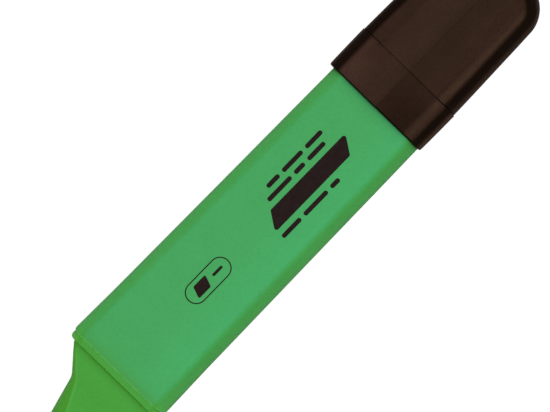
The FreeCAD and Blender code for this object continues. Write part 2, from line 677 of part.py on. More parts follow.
m1 = rounded_end(cap, "mouth", B + "x_shoulder", 1, B + "mouth_hw", B + "mouth_ht", B + "band_corner", B + "mouth_round")
m2 = rounded(cap, "band_section", B + "x_step", B + "band_hw", B + "band_ht", B + "band_corner")
band = loft(cap, "skirt_band", m1 + [m2])
q1 = rounded(cap, "in_mouth", B + "x_shoulder", B + "cap_in_mouth_hw", B + "cap_in_mouth_ht", B + "cap_in_corner")
q2 = rounded(cap, "in_step", B + "x_cap_in_step", B + "cap_in_step_hw", B + "cap_in_step_ht", B + "cap_in_corner")
q3 = rounded(cap, "in_far", B + "x_cap_in_far", B + "cap_in_far_hw", B + "cap_in_far_ht", B + "cap_in_corner")
q4 = rounded(cap, "in_turn", B + "x_cap_in_turn", B + "cap_in_turn_hw", B + "cap_in_turn_ht", B + "cap_in_corner")
q5 = rounded(cap, "in_end", B + "x_cap_in_end", B + "cap_in_end_hw", B + "cap_in_end_ht", B + "cap_in_corner")
hollow = loft(cap, "hollow", [q1, q2, q3, q4, q5], cut=True)
# Four ribs back the inner cap's plate, and two beads keep it against them.
r1 = new_sketch(cap, "cap_rib_sections", "YZ_Plane", B + "x_plate_back")
T = "Dims.cap_rib_thick / 2"
for j, (sy, sz) in enumerate(((1, 1), (-1, 1), (1, -1), (-1, -1))):
    yc = "Dims.cap_rib_y" if sy > 0 else "-Dims.cap_rib_y"
    z0, z1 = ("Dims.cap_rib_top", "Dims.cap_rib_foot") if sz > 0 else ("-Dims.cap_rib_foot", "-Dims.cap_rib_top")
    box_in(r1, f"c{j}", f"{yc} - {T}", f"{yc} + {T}", z0, z1)
cap_ribs = pad(cap, "cap_ribs", r1, "Dims.x_cap_rib_end - Dims.x_plate_back")
r2 = new_sketch(cap, "cap_bead_section", "XZ_Plane", "Dims.cap_bead_len / 2")
disc(r2, "up", "Dims.cap_bead_x", "Dims.cap_bead_z", "Dims.bead_radius")
disc(r2, "dn", "Dims.cap_bead_x", "-Dims.cap_bead_z", "Dims.bead_radius")
cap_beads = pad(cap, "cap_beads", r2, "Dims.cap_bead_len", reverse=True)
cap.Tip = cap_beads

# ---------------------------------------------------------------- inner cap
# Soft liner: a plate that sits on the cap's ribs, and a sleeve whose lip closes on the
# nose so that the ink doesn't dry out.
inner = new_body("inner_cap")
i1 = rounded(inner, "plate_section", B + "x_plate_front", B + "plate_hw", B + "plate_ht", B + "plate_corner")
plate = pad(inner, "plate", i1, "Dims.x_plate_back - Dims.x_plate_front")
i2 = rounded(inner, "sleeve_root", B + "x_plate_front", B + "sleeve_out_hw", B + "sleeve_out_ht", B + "sleeve_out_corner")
i3 = rounded(inner, "sleeve_lip", B + "x_lip", B + "lip_out_hw", B + "lip_out_ht", B + "lip_out_corner")
sleeve = loft(inner, "sleeve", [i2, i3])
i4 = rounded(inner, "sleeve_floor", B + "x_plate_front", B + "sleeve_in_hw", B + "sleeve_in_ht", B + "sleeve_in_corner")
i5 = rounded(inner, "lip_inside", B + "x_lip", B + "lip_hw", B + "lip_ht", B + "lip_corner")
sleeve_cut = loft(inner, "sleeve_hollow", [i4, i5], cut=True)
inner.Tip = sleeve_cut

doc.recompute()

# ---------------------------------------------------------------- checks and export
for o in doc.Objects:
    state = [w for w in o.State if w in ("Invalid", "Error")]
    if state:
        raise RuntimeError(f"{o.Name} is {state}")
pieces = [barrel, holder, nib, core, wrap, cap, inner]
for b in pieces:
    if b.Shape.isNull() or not b.Shape.isValid() or len(b.Shape.Solids) < 1:
        raise RuntimeError(f"{b.Label} has no valid solid")
os.makedirs("parts", exist_ok=True)
for b in pieces:
    b.Shape.exportStep(f"parts/{b.Label}.step")
    bb = b.Shape.BoundBox
    print(
        f"{b.Label}: solids {len(b.Shape.Solids)} volume {b.Shape.Volume:.1f} mm3 "
        f"x {bb.XMin:.2f}..{bb.XMax:.2f} y {bb.YMin:.2f}..{bb.YMax:.2f} z {bb.ZMin:.2f}..{bb.ZMax:.2f}"
    )
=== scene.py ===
import math

import bmesh
import bpy
import numpy as np
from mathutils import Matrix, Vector


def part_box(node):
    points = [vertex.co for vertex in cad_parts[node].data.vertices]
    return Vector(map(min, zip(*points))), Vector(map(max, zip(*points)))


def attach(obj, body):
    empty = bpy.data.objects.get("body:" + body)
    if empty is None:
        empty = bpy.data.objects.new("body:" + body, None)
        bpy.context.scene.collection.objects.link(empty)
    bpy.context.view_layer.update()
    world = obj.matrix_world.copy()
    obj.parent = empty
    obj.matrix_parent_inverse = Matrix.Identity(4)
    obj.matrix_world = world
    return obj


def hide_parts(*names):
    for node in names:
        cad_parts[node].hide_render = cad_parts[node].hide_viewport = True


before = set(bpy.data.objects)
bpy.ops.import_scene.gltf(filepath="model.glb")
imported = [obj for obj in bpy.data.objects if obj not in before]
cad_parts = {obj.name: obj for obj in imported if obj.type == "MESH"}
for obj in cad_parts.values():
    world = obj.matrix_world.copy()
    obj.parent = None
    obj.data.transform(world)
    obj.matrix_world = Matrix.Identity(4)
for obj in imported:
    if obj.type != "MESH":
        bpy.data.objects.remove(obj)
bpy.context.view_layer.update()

MM = 0.001
barrel_lo, barrel_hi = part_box("barrel")
cap_lo, cap_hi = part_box("cap")
holder_lo, holder_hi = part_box("nib_holder")
nib_lo, nib_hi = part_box("chisel_nib")

# ------------------------------------------------------------------ stations (mm)
AXIS = (nib_lo.z + nib_hi.z) / 2 / MM        # height of the pen's centre line
X_RIM = barrel_lo.x / MM                     # front rim of the barrel
X_REAR = barrel_hi.x / MM                    # closed end of the barrel
X_MOUTH = cap_lo.x / MM                      # mouth of the cap, on the barrel's shoulder
X_CAP_END = cap_hi.x / MM
X_NOSE = holder_lo.x / MM
X_SKIRT = holder_hi.x / MM
X_TIP = nib_lo.x / MM
X_TAIL = nib_hi.x / MM
X_FLANGE = X_RIM - 1.24
X_BASE = X_RIM - 1.56
X_KINK = X_RIM - 7.0
X_STEP = X_MOUTH + 9.86
HT_RIM = (barrel_hi.z - barrel_lo.z) / 2 / MM
HW_RIM = (barrel_hi.y - barrel_lo.y) / 2 / MM
HT_CAP = (cap_hi.z - cap_lo.z) / 2 / MM
HW_CAP = (cap_hi.y - cap_lo.y) / 2 / MM


# ------------------------------------------------------------------ mesh helpers
def smooth_curve(xs, ys):
    """A monotone cubic through the points, as a function."""
    xs, ys = np.asarray(xs, float), np.asarray(ys, float)
    h = np.diff(xs)
    d = np.diff(ys) / h
    m = np.zeros(len(xs))
    m[0], m[-1] = d[0], d[-1]
    for i in range(1, len(xs) - 1):
        if d[i - 1] * d[i] > 0:
            w1, w2 = 2 * h[i] + h[i - 1], h[i] + 2 * h[i - 1]
            m[i] = (w1 + w2) / (w1 / d[i - 1] + w2 / d[i])

    def f(x):
        x = np.clip(np.asarray(x, float), xs[0], xs[-1])
        k = np.clip(np.searchsorted(xs, x, side="right") - 1, 0, len(xs) - 2)
        s = (x - xs[k]) / h[k]
        return (
            (1 + 2 * s) * (1 - s) ** 2 * ys[k]
            + s * (1 - s) ** 2 * h[k] * m[k]
            + s * s * (3 - 2 * s) * ys[k + 1]
            + s * s * (s - 1) * h[k] * m[k + 1]
        )

    return f


def spread(n, edge=0.06):
    """n + 1 values from 0 to 1, with a support value close to each end."""
    inner = np.linspace(edge, 1 - edge, n - 1)
    return np.concatenate([[0.0], inner, [1.0]])


NF, NR, NS = 9, 14, 6


def rr_quarter(x, hw, ht, r, x_side=None):
    """First quadrant of a rounded rectangle square to the axis, from the middle of the wide
    face to the middle of the narrow side: NF + NR + NS + 1 points."""
    pts = []
    for f in spread(NF):
        pts.append((x, (hw - r) * f, ht))
    for i in range(1, NR + 1):
        a = math.pi / 2 * (1 - i / NR)
        pts.append((x, hw - r + r * math.cos(a), ht - r + r * math.sin(a)))
    for f in spread(NS)[1:]:
        pts.append((x, hw, (ht - r) * (1 - f)))
    return np.array(pts)


def ring(q, other=None):
    """Whole ring from a first quadrant, mirrored about both planes of the section. A second
    quadrant, if given, makes the -Y side."""
    o = q if other is None else other
    tr = q
    br = q[-2::-1] * (1, 1, -1)
    bl = o[1:] * (1, -1, -1)
    tl = o[-2:0:-1] * (1, -1, 1)
    return np.vstack([tr, br, bl, tl])


def build(name, rings, close_start=True, close_end=True, loop=False, weld=0.0, sharp=35.0):
    """A closed skin over a run of rings of equal length (mm, about the centre line)."""
    n = len(rings[0])
    verts = np.vstack(rings)
    faces = []
    m = len(rings)
    for i in range(m if loop else m - 1):
        a, b = i * n, ((i + 1) % m) * n
        for j in range(n):
            k = (j + 1) % n
            faces.append((a + j, a + k, b + k, b + j))
    verts = [tuple(v) for v in verts]
    if not loop:
        for at_start, wanted in ((True, close_start), (False, close_end)):
            if not wanted:
                continue
            base = 0 if at_start else (m - 1) * n
            c = np.mean(rings[0 if at_start else -1], axis=0)
            verts.append(tuple(c))
            ci = len(verts) - 1
            for j in range(n):
                k = (j + 1) % n
                faces.append((base + k, base + j, ci) if at_start else (base + j, base + k, ci))
    me = bpy.data.meshes.new(name)
    me.from_pydata(
        [(x * MM, y * MM, (z + AXIS) * MM) for x, y, z in verts], [], faces
    )
    bm = bmesh.new()
    bm.from_mesh(me)
    bmesh.ops.remove_doubles(bm, verts=bm.verts, dist=max(weld, 1e-4) * MM)
    bmesh.ops.dissolve_degenerate(bm, edges=bm.edges, dist=1e-5 * MM)
    bmesh.ops.recalc_face_normals(bm, faces=bm.faces)
    bm.to_mesh(me)
    bm.free()
    me.shade_smooth()
    me.set_sharp_from_angle(angle=math.radians(sharp))
    o = bpy.data.objects.new(name, me)
    bpy.context.scene.collection.objects.link(o)
    return o


def tidy(pts):
    """An outline without repeated points."""
    return [q for q, before in zip(pts, [pts[-1]] + pts[:-1]) if math.dist(q, before) > 1e-3]


def prism(outlines, low, high):
    """Vertices and faces of closed plates over plan outlines (mm). low and high are
    functions of x for the two faces."""
    verts, faces = [], []
    for pts in outlines:
        pts = tidy(pts)
        n, b = len(pts), len(verts)
        verts += [(x, y, low(x)) for x, y in pts] + [(x, y, high(x)) for x, y in pts]
        faces.append(tuple(b + n - 1 - i for i in range(n)))
        faces.append(tuple(b + n + i for i in range(n)))
        for i in range(n):
            j = (i + 1) % n
            faces.append((b + i, b + j, b + n + j, b + n + i))
    return verts, faces


def plates(name, outlines, low, high):
    verts, faces = prism(outlines, low, high)
    me = bpy.data.meshes.new(name)
    me.from_pydata([(x * MM, y * MM, (z + AXIS) * MM) for x, y, z in verts], [], faces)
    me.validate()
    bm = bmesh.new()
    bm.from_mesh(me)
    bmesh.ops.recalc_face_normals(bm, faces=bm.faces)
    bm.to_mesh(me)
    bm.free()
    o = bpy.data.objects.new(name, me)
    bpy.context.scene.collection.objects.link(o)
    return o


# ------------------------------------------------------------------ barrel
# Half width along the pen: a gentle draft, a soft flare near the nib and a small lip at
# the rim. The thickness follows the same line.
barrel_hw = smooth_curve(
    [X_RIM, -43.55, -42.9, -41.5, -38.5, -34.5, -30.5, -22.5, -14.5, -6.5, 1.5, 9.5, 17.5, 25.5, X_MOUTH],
    [HW_RIM, HW_RIM, 12.37, 12.34, 12.29, 12.20, 12.14, 12.07, 12.00, 11.93, 11.86, 11.80, 11.745, 11.675, 11.64],
)


def barrel_ht(x):
    return 6.93 + (barrel_hw(x) - 11.635) * (HT_RIM - 6.93) / (HW_RIM - 11.635)


R_LONG = 3.4
R_LEFT, R_RIGHT = 2.95, 4.05      # rounding as it reads on the +Y and the -Y side
R_RIM, R_RIM_Z = 1.0, 0.26


def barrel_ring(x, hw, ht, dr=0.0):
    return ring(rr_quarter(x, hw, ht, R_LEFT - dr), rr_quarter(x, hw, ht, R_RIGHT - dr))
SPIGOT_HW, SPIGOT_HT, SPIGOT_R = 11.30, 6.61, 2.0
SPIGOT_END_HW, SPIGOT_END_HT = 11.22, 6.53

rings = []
for f in (0.06, 0.2, 0.4, 0.6, 0.8, 0.93):
    rings.append(ring(rr_quarter(X_REAR, (SPIGOT_END_HW - 0.6) * f, (SPIGOT_END_HT - 0.6) * f, 1.4 * f)))
for i in range(7):
    a = math.pi / 2 * i / 6
    off = 0.6 * (1 - math.sin(a))
    rings.append(
        ring(rr_quarter(X_REAR - 0.6 * (1 - math.cos(a)), SPIGOT_END_HW - off, SPIGOT_END_HT - off, SPIGOT_R - off))
    )
for f in (0.25, 0.5, 0.75, 1.0):
    x = (X_REAR - 0.6) * (1 - f) + X_MOUTH * f
    rings.append(
        ring(rr_quarter(x, SPIGOT_END_HW + (SPIGOT_HW - SPIGOT_END_HW) * f, SPIGOT_END_HT + (SPIGOT_HT - SPIGOT_END_HT) * f, SPIGOT_R))
    )
hw, ht = float(barrel_hw(X_MOUTH)), float(barrel_ht(X_MOUTH))
for i in range(4):
    a = math.pi / 2 * i / 3
    off = 0.10 * (1 - math.sin(a))
    rings.append(barrel_ring(X_MOUTH - 0.10 * (1 - math.cos(a)), hw - off, ht - off, off))
for x in np.concatenate([np.linspace(X_MOUTH - 0.4, -30, 34), np.linspace(-31, -42.8, 20), np.linspace(-42.9, X_RIM + R_RIM, 3)]):
    rings.append(barrel_ring(x, float(barrel_hw(x)), float(barrel_ht(x))))
hw, ht = float(barrel_hw(X_RIM)), float(barrel_ht(X_RIM))


def turned(d, r):
    """How far an edge of radius r has turned in at the distance d from the end."""
    d = min(d, r)
    return r - math.sqrt(max(r * r - (r - d) ** 2, 0.0))


# the wide faces keep their level almost to the rim; the sides turn in earlier
for d in (0.84, 0.74, 0.64, 0.52, 0.42, 0.33, 0.27, 0.22, 0.17, 0.12, 0.08, 0.045, 0.02, 0.005, 0.0):
    oy, oz = turned(d, R_RIM), turned(d, R_RIM_Z)
    rings.append(barrel_ring(X_RIM + d, hw - oy, ht - oz, oy))
for x, w, t, r in (
    (X_RIM, 11.15, 6.50, 2.5),
    (X_RIM + 0.1, 11.05, 6.40, 2.4),
    (-40.0, 11.05, 6.40, 2.4),
    (-36.0, 11.05, 6.40, 2.4),
    (-36.0, 10.95, 6.30, 2.2),
    (-12.0, 10.685, 6.0, 2.2),
    (12.0, 10.42, 5.70, 2.2),
    (36.4, 10.15, 5.40, 2.2),
    (36.4, 7.0, 3.7, 1.5),
    (36.4, 3.0, 1.6, 0.6),
    (36.4, 0.6, 0.3, 0.1),
):
    rings.append(ring(rr_quarter(x, w, t, r)))
barrel = build("barrel_shell", rings)
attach(barrel, "pen")
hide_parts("barrel")

# ------------------------------------------------------------------ nib holder
nose_hw = smooth_curve(
    [X_NOSE, -59.0, -57.0, -54.6, -52.6, -51.75, X_KINK, -50.75, -49.8, -48.4, -47.0, X_BASE],
    [3.38, 4.20, 4.72, 5.34, 5.85, 6.065, 6.25, 6.54, 7.32, 8.52, 9.72, 10.70],
)
nose_ht = smooth_curve(
    [X_NOSE, -59.0, -57.0, -54.6, -52.6, -51.75, X_KINK, -50.75, -49.8, -48.4, -47.0, X_BASE],
    [3.00, 3.63, 4.03, 4.52, 4.92, 5.07, 5.19, 5.30, 5.52, 5.83, 6.12, 6.35],
)
nose_r = smooth_curve(
    [X_NOSE, -59.0, -57.0, -54.6, -52.6, X_KINK, -48.4, X_BASE],
    [2.94, 2.90, 2.78, 2.30, 1.82, 1.48, 1.05, 0.85],
)


CREASE = math.radians(21)


def nose_quarter(x, hw=None, ht=None, r=None, crease=None):
    """Section of the nose: the wide face ends in a crease, and a bowed facet runs from it
    down to the narrow side."""
    hw = float(nose_hw(x)) if hw is None else hw
    ht = float(nose_ht(x)) if ht is None else ht
    r = float(nose_r(x)) if r is None else r
    c = CREASE if crease is None else crease
    big = r / (1 - math.sin(c))
    deep = min(big * math.cos(c), ht - 0.02)
    k = deep / (big * math.cos(c))
    pts = [(x, (hw - r) * f, ht) for f in spread(NF, 0.012)]
    for i in range(1, NR + 1):
        a = c + (math.pi / 2 - c) * i / NR
        pts.append((x, hw - big * (1 - math.sin(a)), ht - deep + k * big * math.cos(a)))
    for f in spread(NS)[1:]:
        pts.append((x, hw, (ht - deep) * (1 - f)))
    return np.array(pts)


rings = []
# nib channel, from the throat out to the open end
for x in (-50.4, -54.0, -58.0, X_NOSE + 0.35):
    rings.append(ring(rr_quarter(x, 2.52, 1.82, 0.6)))
for i in range(1, 6):
    a = math.pi / 2 * i / 5
    off = 0.22 * (1 - math.cos(a))
    rings.append(ring(rr_quarter(X_NOSE + 0.22 * (1 - math.sin(a)), 2.52 + off, 1.82 + off, 0.6 + off)))
for i in range(0, 7):
    a = math.pi / 2 * i / 6
    off = 0.38 * (1 - math.sin(a))
    x = X_NOSE + 0.38 * (1 - math.cos(a))
    rings.append(
        ring(nose_quarter(x, float(nose_hw(x)) - off, float(nose_ht(x)) - off, float(nose_r(x)) - off, CREASE * (1 - off / 0.38)))
    )
for x in np.concatenate([np.linspace(X_NOSE + 0.7, -52.4, 26), np.linspace(-52.1, -50.3, 13), np.linspace(-50.0, X_BASE - 0.12, 16)]):
    rings.append(ring(nose_quarter(x)))
# the shoulder runs on to the flange's face, with a small fillet
for dx, g in ((0.10, 0.02), (0.18, 0.035), (0.225, 0.06), (0.25, 0.10), (0.27, 0.16)):
    rings.append(ring(nose_quarter(X_BASE + dx, 10.72 + 0.5 * g, 6.37 + g, 0.85 + g)))
FL_HW, FL_HT, FL_R = 12.10, 7.47, 3.15
FL_EY, FL_EX, FL_EZ, FL_EZX = 0.95, 0.82, 0.30, 0.24


def eased(d, depth, length):
    """Inset, at the distance d from the flange's face, of an edge turned over that depth
    and length."""
    u = 1 - min(d / length, 1.0)
    return depth * (1 - math.sqrt(max(1 - u * u, 0.0)))


for d in (0.0, 0.004, 0.016, 0.036, 0.065, 0.10, 0.14, 0.19, 0.24, 0.30, 0.38, 0.48, 0.62, 0.82):
    oy, oz = eased(d, FL_EY, FL_EX), eased(d, FL_EZ, FL_EZX)
    rings.append(ring(rr_quarter(X_FLANGE + d, FL_HW - oy, FL_HT - oz, FL_R - oy)))
rings.append(ring(rr_quarter(X_RIM - 0.25, FL_HW, FL_HT, FL_R)))
rings.append(ring(rr_quarter(X_RIM - 0.02, FL_HW, FL_HT, FL_R)))
rings.append(ring(rr_quarter(X_RIM, FL_HW - 0.02, FL_HT - 0.02, FL_R)))
for x, w, t, r in (
    (X_RIM, 11.03, 6.38, 2.38),
    (-42.0, 11.03, 6.38, 2.38),
    (X_SKIRT - 0.4, 11.03, 6.38, 2.38),
    (X_SKIRT, 10.63, 5.98, 1.98),
    (X_SKIRT, 9.60, 4.95, 2.0),
    (-41.0, 9.60, 4.95, 2.0),
    (-45.2, 9.60, 4.95, 2.0),
    (-47.8, 7.25, 4.475, 1.6),
    (-50.4, 4.90, 4.00, 1.2),
):
    rings.append(ring(rr_quarter(x, w, t, r)))
holder = build("nib_holder_shell", rings, loop=True)


def box_mesh(name, lo, hi):
    me = bpy.data.meshes.new(name)
    c = [(x, y, z) for x in (lo[0], hi[0]) for y in (lo[1], hi[1]) for z in (lo[2], hi[2])]
    me.from_pydata(
        [(x * MM, y * MM, (z + AXIS) * MM) for x, y, z in c],
        [],
        [(0, 1, 3, 2), (4, 6, 7, 5), (0, 4, 5, 1), (2, 3, 7, 6), (0, 2, 6, 4), (1, 5, 7, 3)],
    )
    bm = bmesh.new()
    bm.from_mesh(me)
    bmesh.ops.recalc_face_normals(bm, faces=bm.faces)
    bm.to_mesh(me)
    bm.free()
    o = bpy.data.objects.new(name, me)
    bpy.context.scene.collection.objects.link(o)
    return o


def combine(obj, tools, operation, sharp=35.0):
    """Cuts or joins closed tools into a closed mesh, and removes the tools."""
    for t in tools:
        md = obj.modifiers.new("b", "BOOLEAN")
        md.operation = operation
        md.solver = "EXACT"
        md.object = t
        dg = bpy.context.evaluated_depsgraph_get()
        me = bpy.data.meshes.new_from_object(obj.evaluated_get(dg))
        obj.modifiers.clear()
        old = obj.data
        obj.data = me
        bpy.data.meshes.remove(old)
        tm = t.data
        bpy.data.objects.remove(t)
        bpy.data.meshes.remove(tm)
    bm = bmesh.new()
    bm.from_mesh(obj.data)
    bmesh.ops.remove_doubles(bm, verts=bm.verts, dist=1e-4 * MM)
    bmesh.ops.dissolve_degenerate(bm, edges=bm.edges, dist=1e-5 * MM)
    bm.to_mesh(obj.data)
    bm.free()
    obj.data.shade_smooth()
    obj.data.set_sharp_from_angle(angle=math.radians(sharp))


# air vents: a slot either side of the nib, open at the front
combine(holder, [box_mesh("vent", (X_NOSE - 1.0, -2.95, -0.30), (-50.0, 2.95, 0.30))], "DIFFERENCE")
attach(holder, "pen")
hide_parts("nib_holder")

# ------------------------------------------------------------------ nib
def nib_quarter(x, hw, ht, r):
    q = rr_quarter(x, hw, ht, min(r, hw * 0.98, ht * 0.98))
    return q


def slanted(rg, amount):
    out = rg.copy()
    out[:, 0] += amount * 0.5 * out[:, 1]
    return out


rings = []
for f in (0.1, 0.5, 0.85, 1.0):
    rings.append(ring(nib_quarter(X_TAIL, 1.45 * f, 1.65 * f, 0.5 * f)))
for x, w, t, r in (
    (X_TAIL - 0.15, 1.60, 1.78, 0.55),
    (X_TAIL - 2.2, 2.48, 1.80, 0.55),
    (X_TAIL - 2.5, 2.50, 1.80, 0.55),
    (-45.0, 2.50, 1.80, 0.55),
    (-54.0, 2.50, 1.80, 0.55),
    (-61.0, 2.50, 1.80, 0.55),
    (-62.4, 2.50, 1.80, 0.55),
    (-63.2, 2.50, 1.80, 0.55),
):
    rings.append(ring(nib_quarter(x, w, t, r)))
mid_tip = (X_TIP + (X_TIP + 2.5)) / 2
for u in np.linspace(0.04, 1.0, 22):
    x = -63.6 + (mid_tip + 0.22 + 63.6) * u
    t = 1.80 - (1.80 - 0.60) * u
    if u < 0.12:
        t = 1.80 - (1.2 * 0.12) * (u / 0.12) ** 2
    rings.append(slanted(ring(nib_quarter(x, 2.50 - 0.05 * u, t, 0.55 - 0.15 * u)), min(1.0, u * 1.08)))
for i in range(1, 7):
    a = math.pi / 2 * i / 6
    off = 0.22 * (1 - math.cos(a))
    x = mid_tip + 0.22 - 0.22 * math.sin(a)
    rings.append(slanted(ring(nib_quarter(x, 2.45 - off, 0.60 - off, 0.40 - off * 0.6)), 1.0))
for f in (0.6, 0.2):
    rings.append(slanted(ring(nib_quarter(mid_tip, 2.23 * f, 0.38 * f, 0.2 * f)), 1.0))
nib = build("nib_block", rings)
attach(nib, "pen")
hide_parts("chisel_nib")

# ------------------------------------------------------------------ cap
ECC = 0.285          # the outside of the cap sits this far off the barrel's centre line
cap_hw = smooth_curve(
    [X_MOUTH, X_MOUTH + 0.4, X_MOUTH + 1.6, X_MOUTH + 4.0, X_MOUTH + 7.0, X_STEP],
    [12.44, 12.48, 12.515, 12.55, 12.575, HW_CAP],
)
crown_hw = smooth_curve(
    [X_STEP, X_STEP + 1.2, 43.5, 45.5, 49.5, 53.5, 57.5, 61.7],
    [12.435, 12.42, 12.37, 12.33, 12.235, 12.14, 12.05, 11.925],
)
C_X, C_Y, C_R = 61.47, 4.70, 7.23     # round corner of the closed end, in plan
X_CLOSED = X_CAP_END - 0.22
END_R = 44.4                          # very slight crown of the end itself
BEVEL_DROP = 0.42
NB, NE = 6, 16


def edge_profile(b_in, b_out):
    """(inset from the outline, drop from the face) from the bevel's inner edge to the start
    of the side wall."""
    tilt = math.atan2(BEVEL_DROP, b_in - b_out)
    edge_r = b_out / (1 - math.sin(tilt))
    out = []
    blend = 0.28
    for f in spread(NB, 0.08):
        out.append((b_in + (b_out - b_in) * f, BEVEL_DROP * f))
    # soften the inner edge of the bevel
    out[0] = (b_in + blend * 0.5, 0.0)
    out[1] = (b_in - blend * 0.15, BEVEL_DROP * 0.045)
    for i in range(1, NE + 1):
        a = tilt + (math.pi / 2 - tilt) * i / NE
        out.append((edge_r * (1 - math.sin(a)), BEVEL_DROP + edge_r * (math.cos(tilt) - math.cos(a))))
    return out


CAP_NF, CAP_NS = 9, 6


def cap_quarter(px, py, nx, ny, ht, roof=0.0, shrink=0.0, prof=None):
    """First quadrant of the cap's outside at the outline point (px, py) with outward plan
    normal (nx, ny): roof, bevel, rounding and side wall. shrink pulls the whole outside
    inwards, for turned edges."""
    ht = ht - shrink
    d0 = prof[0][0]
    qx, qy = px - nx * d0, py - ny * d0
    pts = []
    half = max(qy, 0.0)
    for f in spread(CAP_NF, 0.012)[:-1]:
        y = half * f
        pts.append((qx, y, ht - roof * f))
    for d, z in prof:
        x, y = px - nx * (d), max(py - ny * d, 0.0)
        pts.append((x, y, ht - roof - z))
    z_side = pts[-1][2]
    for f in spread(CAP_NS)[1:]:
        pts.append((px, max(py, 0.0), z_side * (1 - f)))
    out = np.array(pts)
    if shrink:
        out[:, 1] = np.maximum(out[:, 1] - shrink * np.clip(out[:, 1] / max(py, 1e-6), 0, 1), 0)
    return out


def crown_top(x):
    return HT_CAP - 0.16 - (x - X_STEP) * (0.16 / 12.0) - 0.10 * max(0.0, (x - 55.0) / 14.0) ** 2


ROOF_BAND, ROOF_CROWN = 0.13, 0.10
# bevels as they read on the +Y and the -Y side
BAND_SIDES = (edge_profile(4.40, 2.50), edge_profile(4.75, 2.85))
CROWN_SIDES = (edge_profile(4.25, 2.25), edge_profile(4.90, 3.05))
rings_out = []


def cap_ring(px, py, nx, ny, ht, roof=0.0, shrink=0.0, sides=CROWN_SIDES):
    return tuple(cap_quarter(px, py, nx, ny, ht, roof, shrink, pr) for pr in sides)


# mouth edge, turned over
hw0 = float(cap_hw(X_MOUTH))
for i in range(0, 7):
    a = math.pi / 2 * i / 6
    off = 0.28 * (1 - math.sin(a))
    x = X_MOUTH + 0.28 * (1 - math.cos(a))
    rings_out.append(cap_ring(x, float(cap_hw(x)), 0, 1, HT_CAP, ROOF_BAND, off, BAND_SIDES))
for x in np.linspace(X_MOUTH + 0.6, X_STEP - 0.30, 16):
    rings_out.append(cap_ring(x, float(cap_hw(x)), 0, 1, HT_CAP, ROOF_BAND, 0.0, BAND_SIDES))
# step: the band's edge, a fine groove, and the crown's edge
for x, off in ((X_STEP - 0.20, 0.0), (X_STEP - 0.13, 0.0), (X_STEP - 0.085, 0.015), (X_STEP - 0.065, 0.05), (X_STEP - 0.055, 0.34)):
    rings_out.append(cap_ring(x, float(cap_hw(X_STEP)), 0, 1, HT_CAP, ROOF_BAND, off, BAND_SIDES))
for x, off in ((X_STEP + 0.06, 0.20), (X_STEP + 0.07, 0.04), (X_STEP + 0.10, 0.012), (X_STEP + 0.15, 0.0)):
    rings_out.append(cap_ring(x, float(crown_hw(x)), 0, 1, crown_top(x), ROOF_CROWN, off))
for x in np.concatenate([np.linspace(X_STEP + 0.4, 60.6, 40)]):
    s = (float(crown_hw(x + 0.05)) - float(crown_hw(x - 0.05))) / 0.1
    n = math.hypot(1, s)
    rings_out.append(cap_ring(x, float(crown_hw(x)), -s / n, 1 / n, crown_top(x), ROOF_CROWN))
# round corner and end, followed as an outline in plan
a_start = math.pi / 2 - 0.03
a_join = math.atan2(C_Y, (C_X - (X_CLOSED - END_R)))
y_fix = 11.93 - (C_Y + C_R * math.sin(a_start))
outline = []
for a in np.linspace(a_start, a_join, 34):
    outline.append((C_X + C_R * math.cos(a), C_Y + C_R * math.sin(a) + y_fix * math.sin(a), math.cos(a), math.sin(a)))
cx = X_CLOSED - END_R
for a in np.linspace(a_join, 0, 14)[1:]:
    outline.append((cx + END_R * math.cos(a), END_R * math.sin(a), math.cos(a), math.sin(a)))
for px, py, nx, ny in outline:
    # the two sides' bevels run into one another round the end, and widen at its corners
    w = min(1.0, ny) ** 2
    more = 0.28 * (2 * nx * ny) ** 2
    sides = (edge_profile(4.90 - 0.65 * w + more, 3.05 - 0.80 * w + more), edge_profile(4.90 + more, 3.05 + more))
    d0 = 4.90 + 0.14
    rings_out.append(
        cap_ring(px, py, nx, ny, crown_top(px - nx * d0), ROOF_CROWN * max(0.0, min(1.0, (py - ny * d0) / 7.0)), 0.0, sides)
    )
outer = []
JOG = 0.08          # the -Y half of the mouth stands this much further from the barrel
for q, o in rings_out:
    # the two sides share one line of points over the middle of each face and of the end
    o = o.copy()
    o[:, 0] += JOG * np.clip(1 - (o[:, 0] - X_MOUTH) / 1.5, 0, 1)
    o[0] = q[0]
    r = ring(q, o)
    r[:, 1] += ECC
    outer.append(r)
nq = len(rings_out[0][0])


def inner_quarter(x, hw, ht, r):
    """A rounded rectangle with as many points as the cap's outside."""
    pts = []
    nf, nr = CAP_NF + 3, nq - 1 - (CAP_NF + 3) - CAP_NS
    for f in spread(nf):
        pts.append((x, (hw - r) * f, ht))
    for i in range(1, nr + 1):
        a = math.pi / 2 * (1 - i / nr)
        pts.append((x, hw - r + r * math.cos(a), ht - r + r * math.sin(a)))
    for f in spread(CAP_NS)[1:]:
        pts.append((x, hw, (ht - r) * (1 - f)))
    return np.array(pts)


inside = []
for f in (0.05, 0.4, 0.8):
    inside.append(ring(inner_quarter(67.5, 6.7 * f, 4.7 * f, 2.0 * f)))
for x, w, t, r in (
    (67.5, 6.70, 4.70, 2.0),
    (65.6, 8.90, 5.60, 2.0),
    (61.0, 10.75, 6.10, 2.0),
    (50.0, 11.005, 6.336, 2.0),
    (38.2, 11.28, 6.59, 2.0),
    (X_MOUTH + 0.5, 11.355, 6.665, 2.0),
    (X_MOUTH + 0.12, 11.38, 6.69, 2.02),
    (X_MOUTH, 11.48, 6.79, 2.1),
):
    inside.append(ring(inner_quarter(x, w, t, r)))
cap = build("cap_shell", inside + outer, close_start=True, close_end=False, weld=0.002, sharp=38)
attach(cap, "cap")
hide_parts("cap")

# ------------------------------------------------------------------ print
# Pad-printed marks on the wide face: rows of plain bars and a slanted swatch, and a
# small pill with two line widths. There is no lettering.
def face_z(x):
    return float(barrel_ht(x))


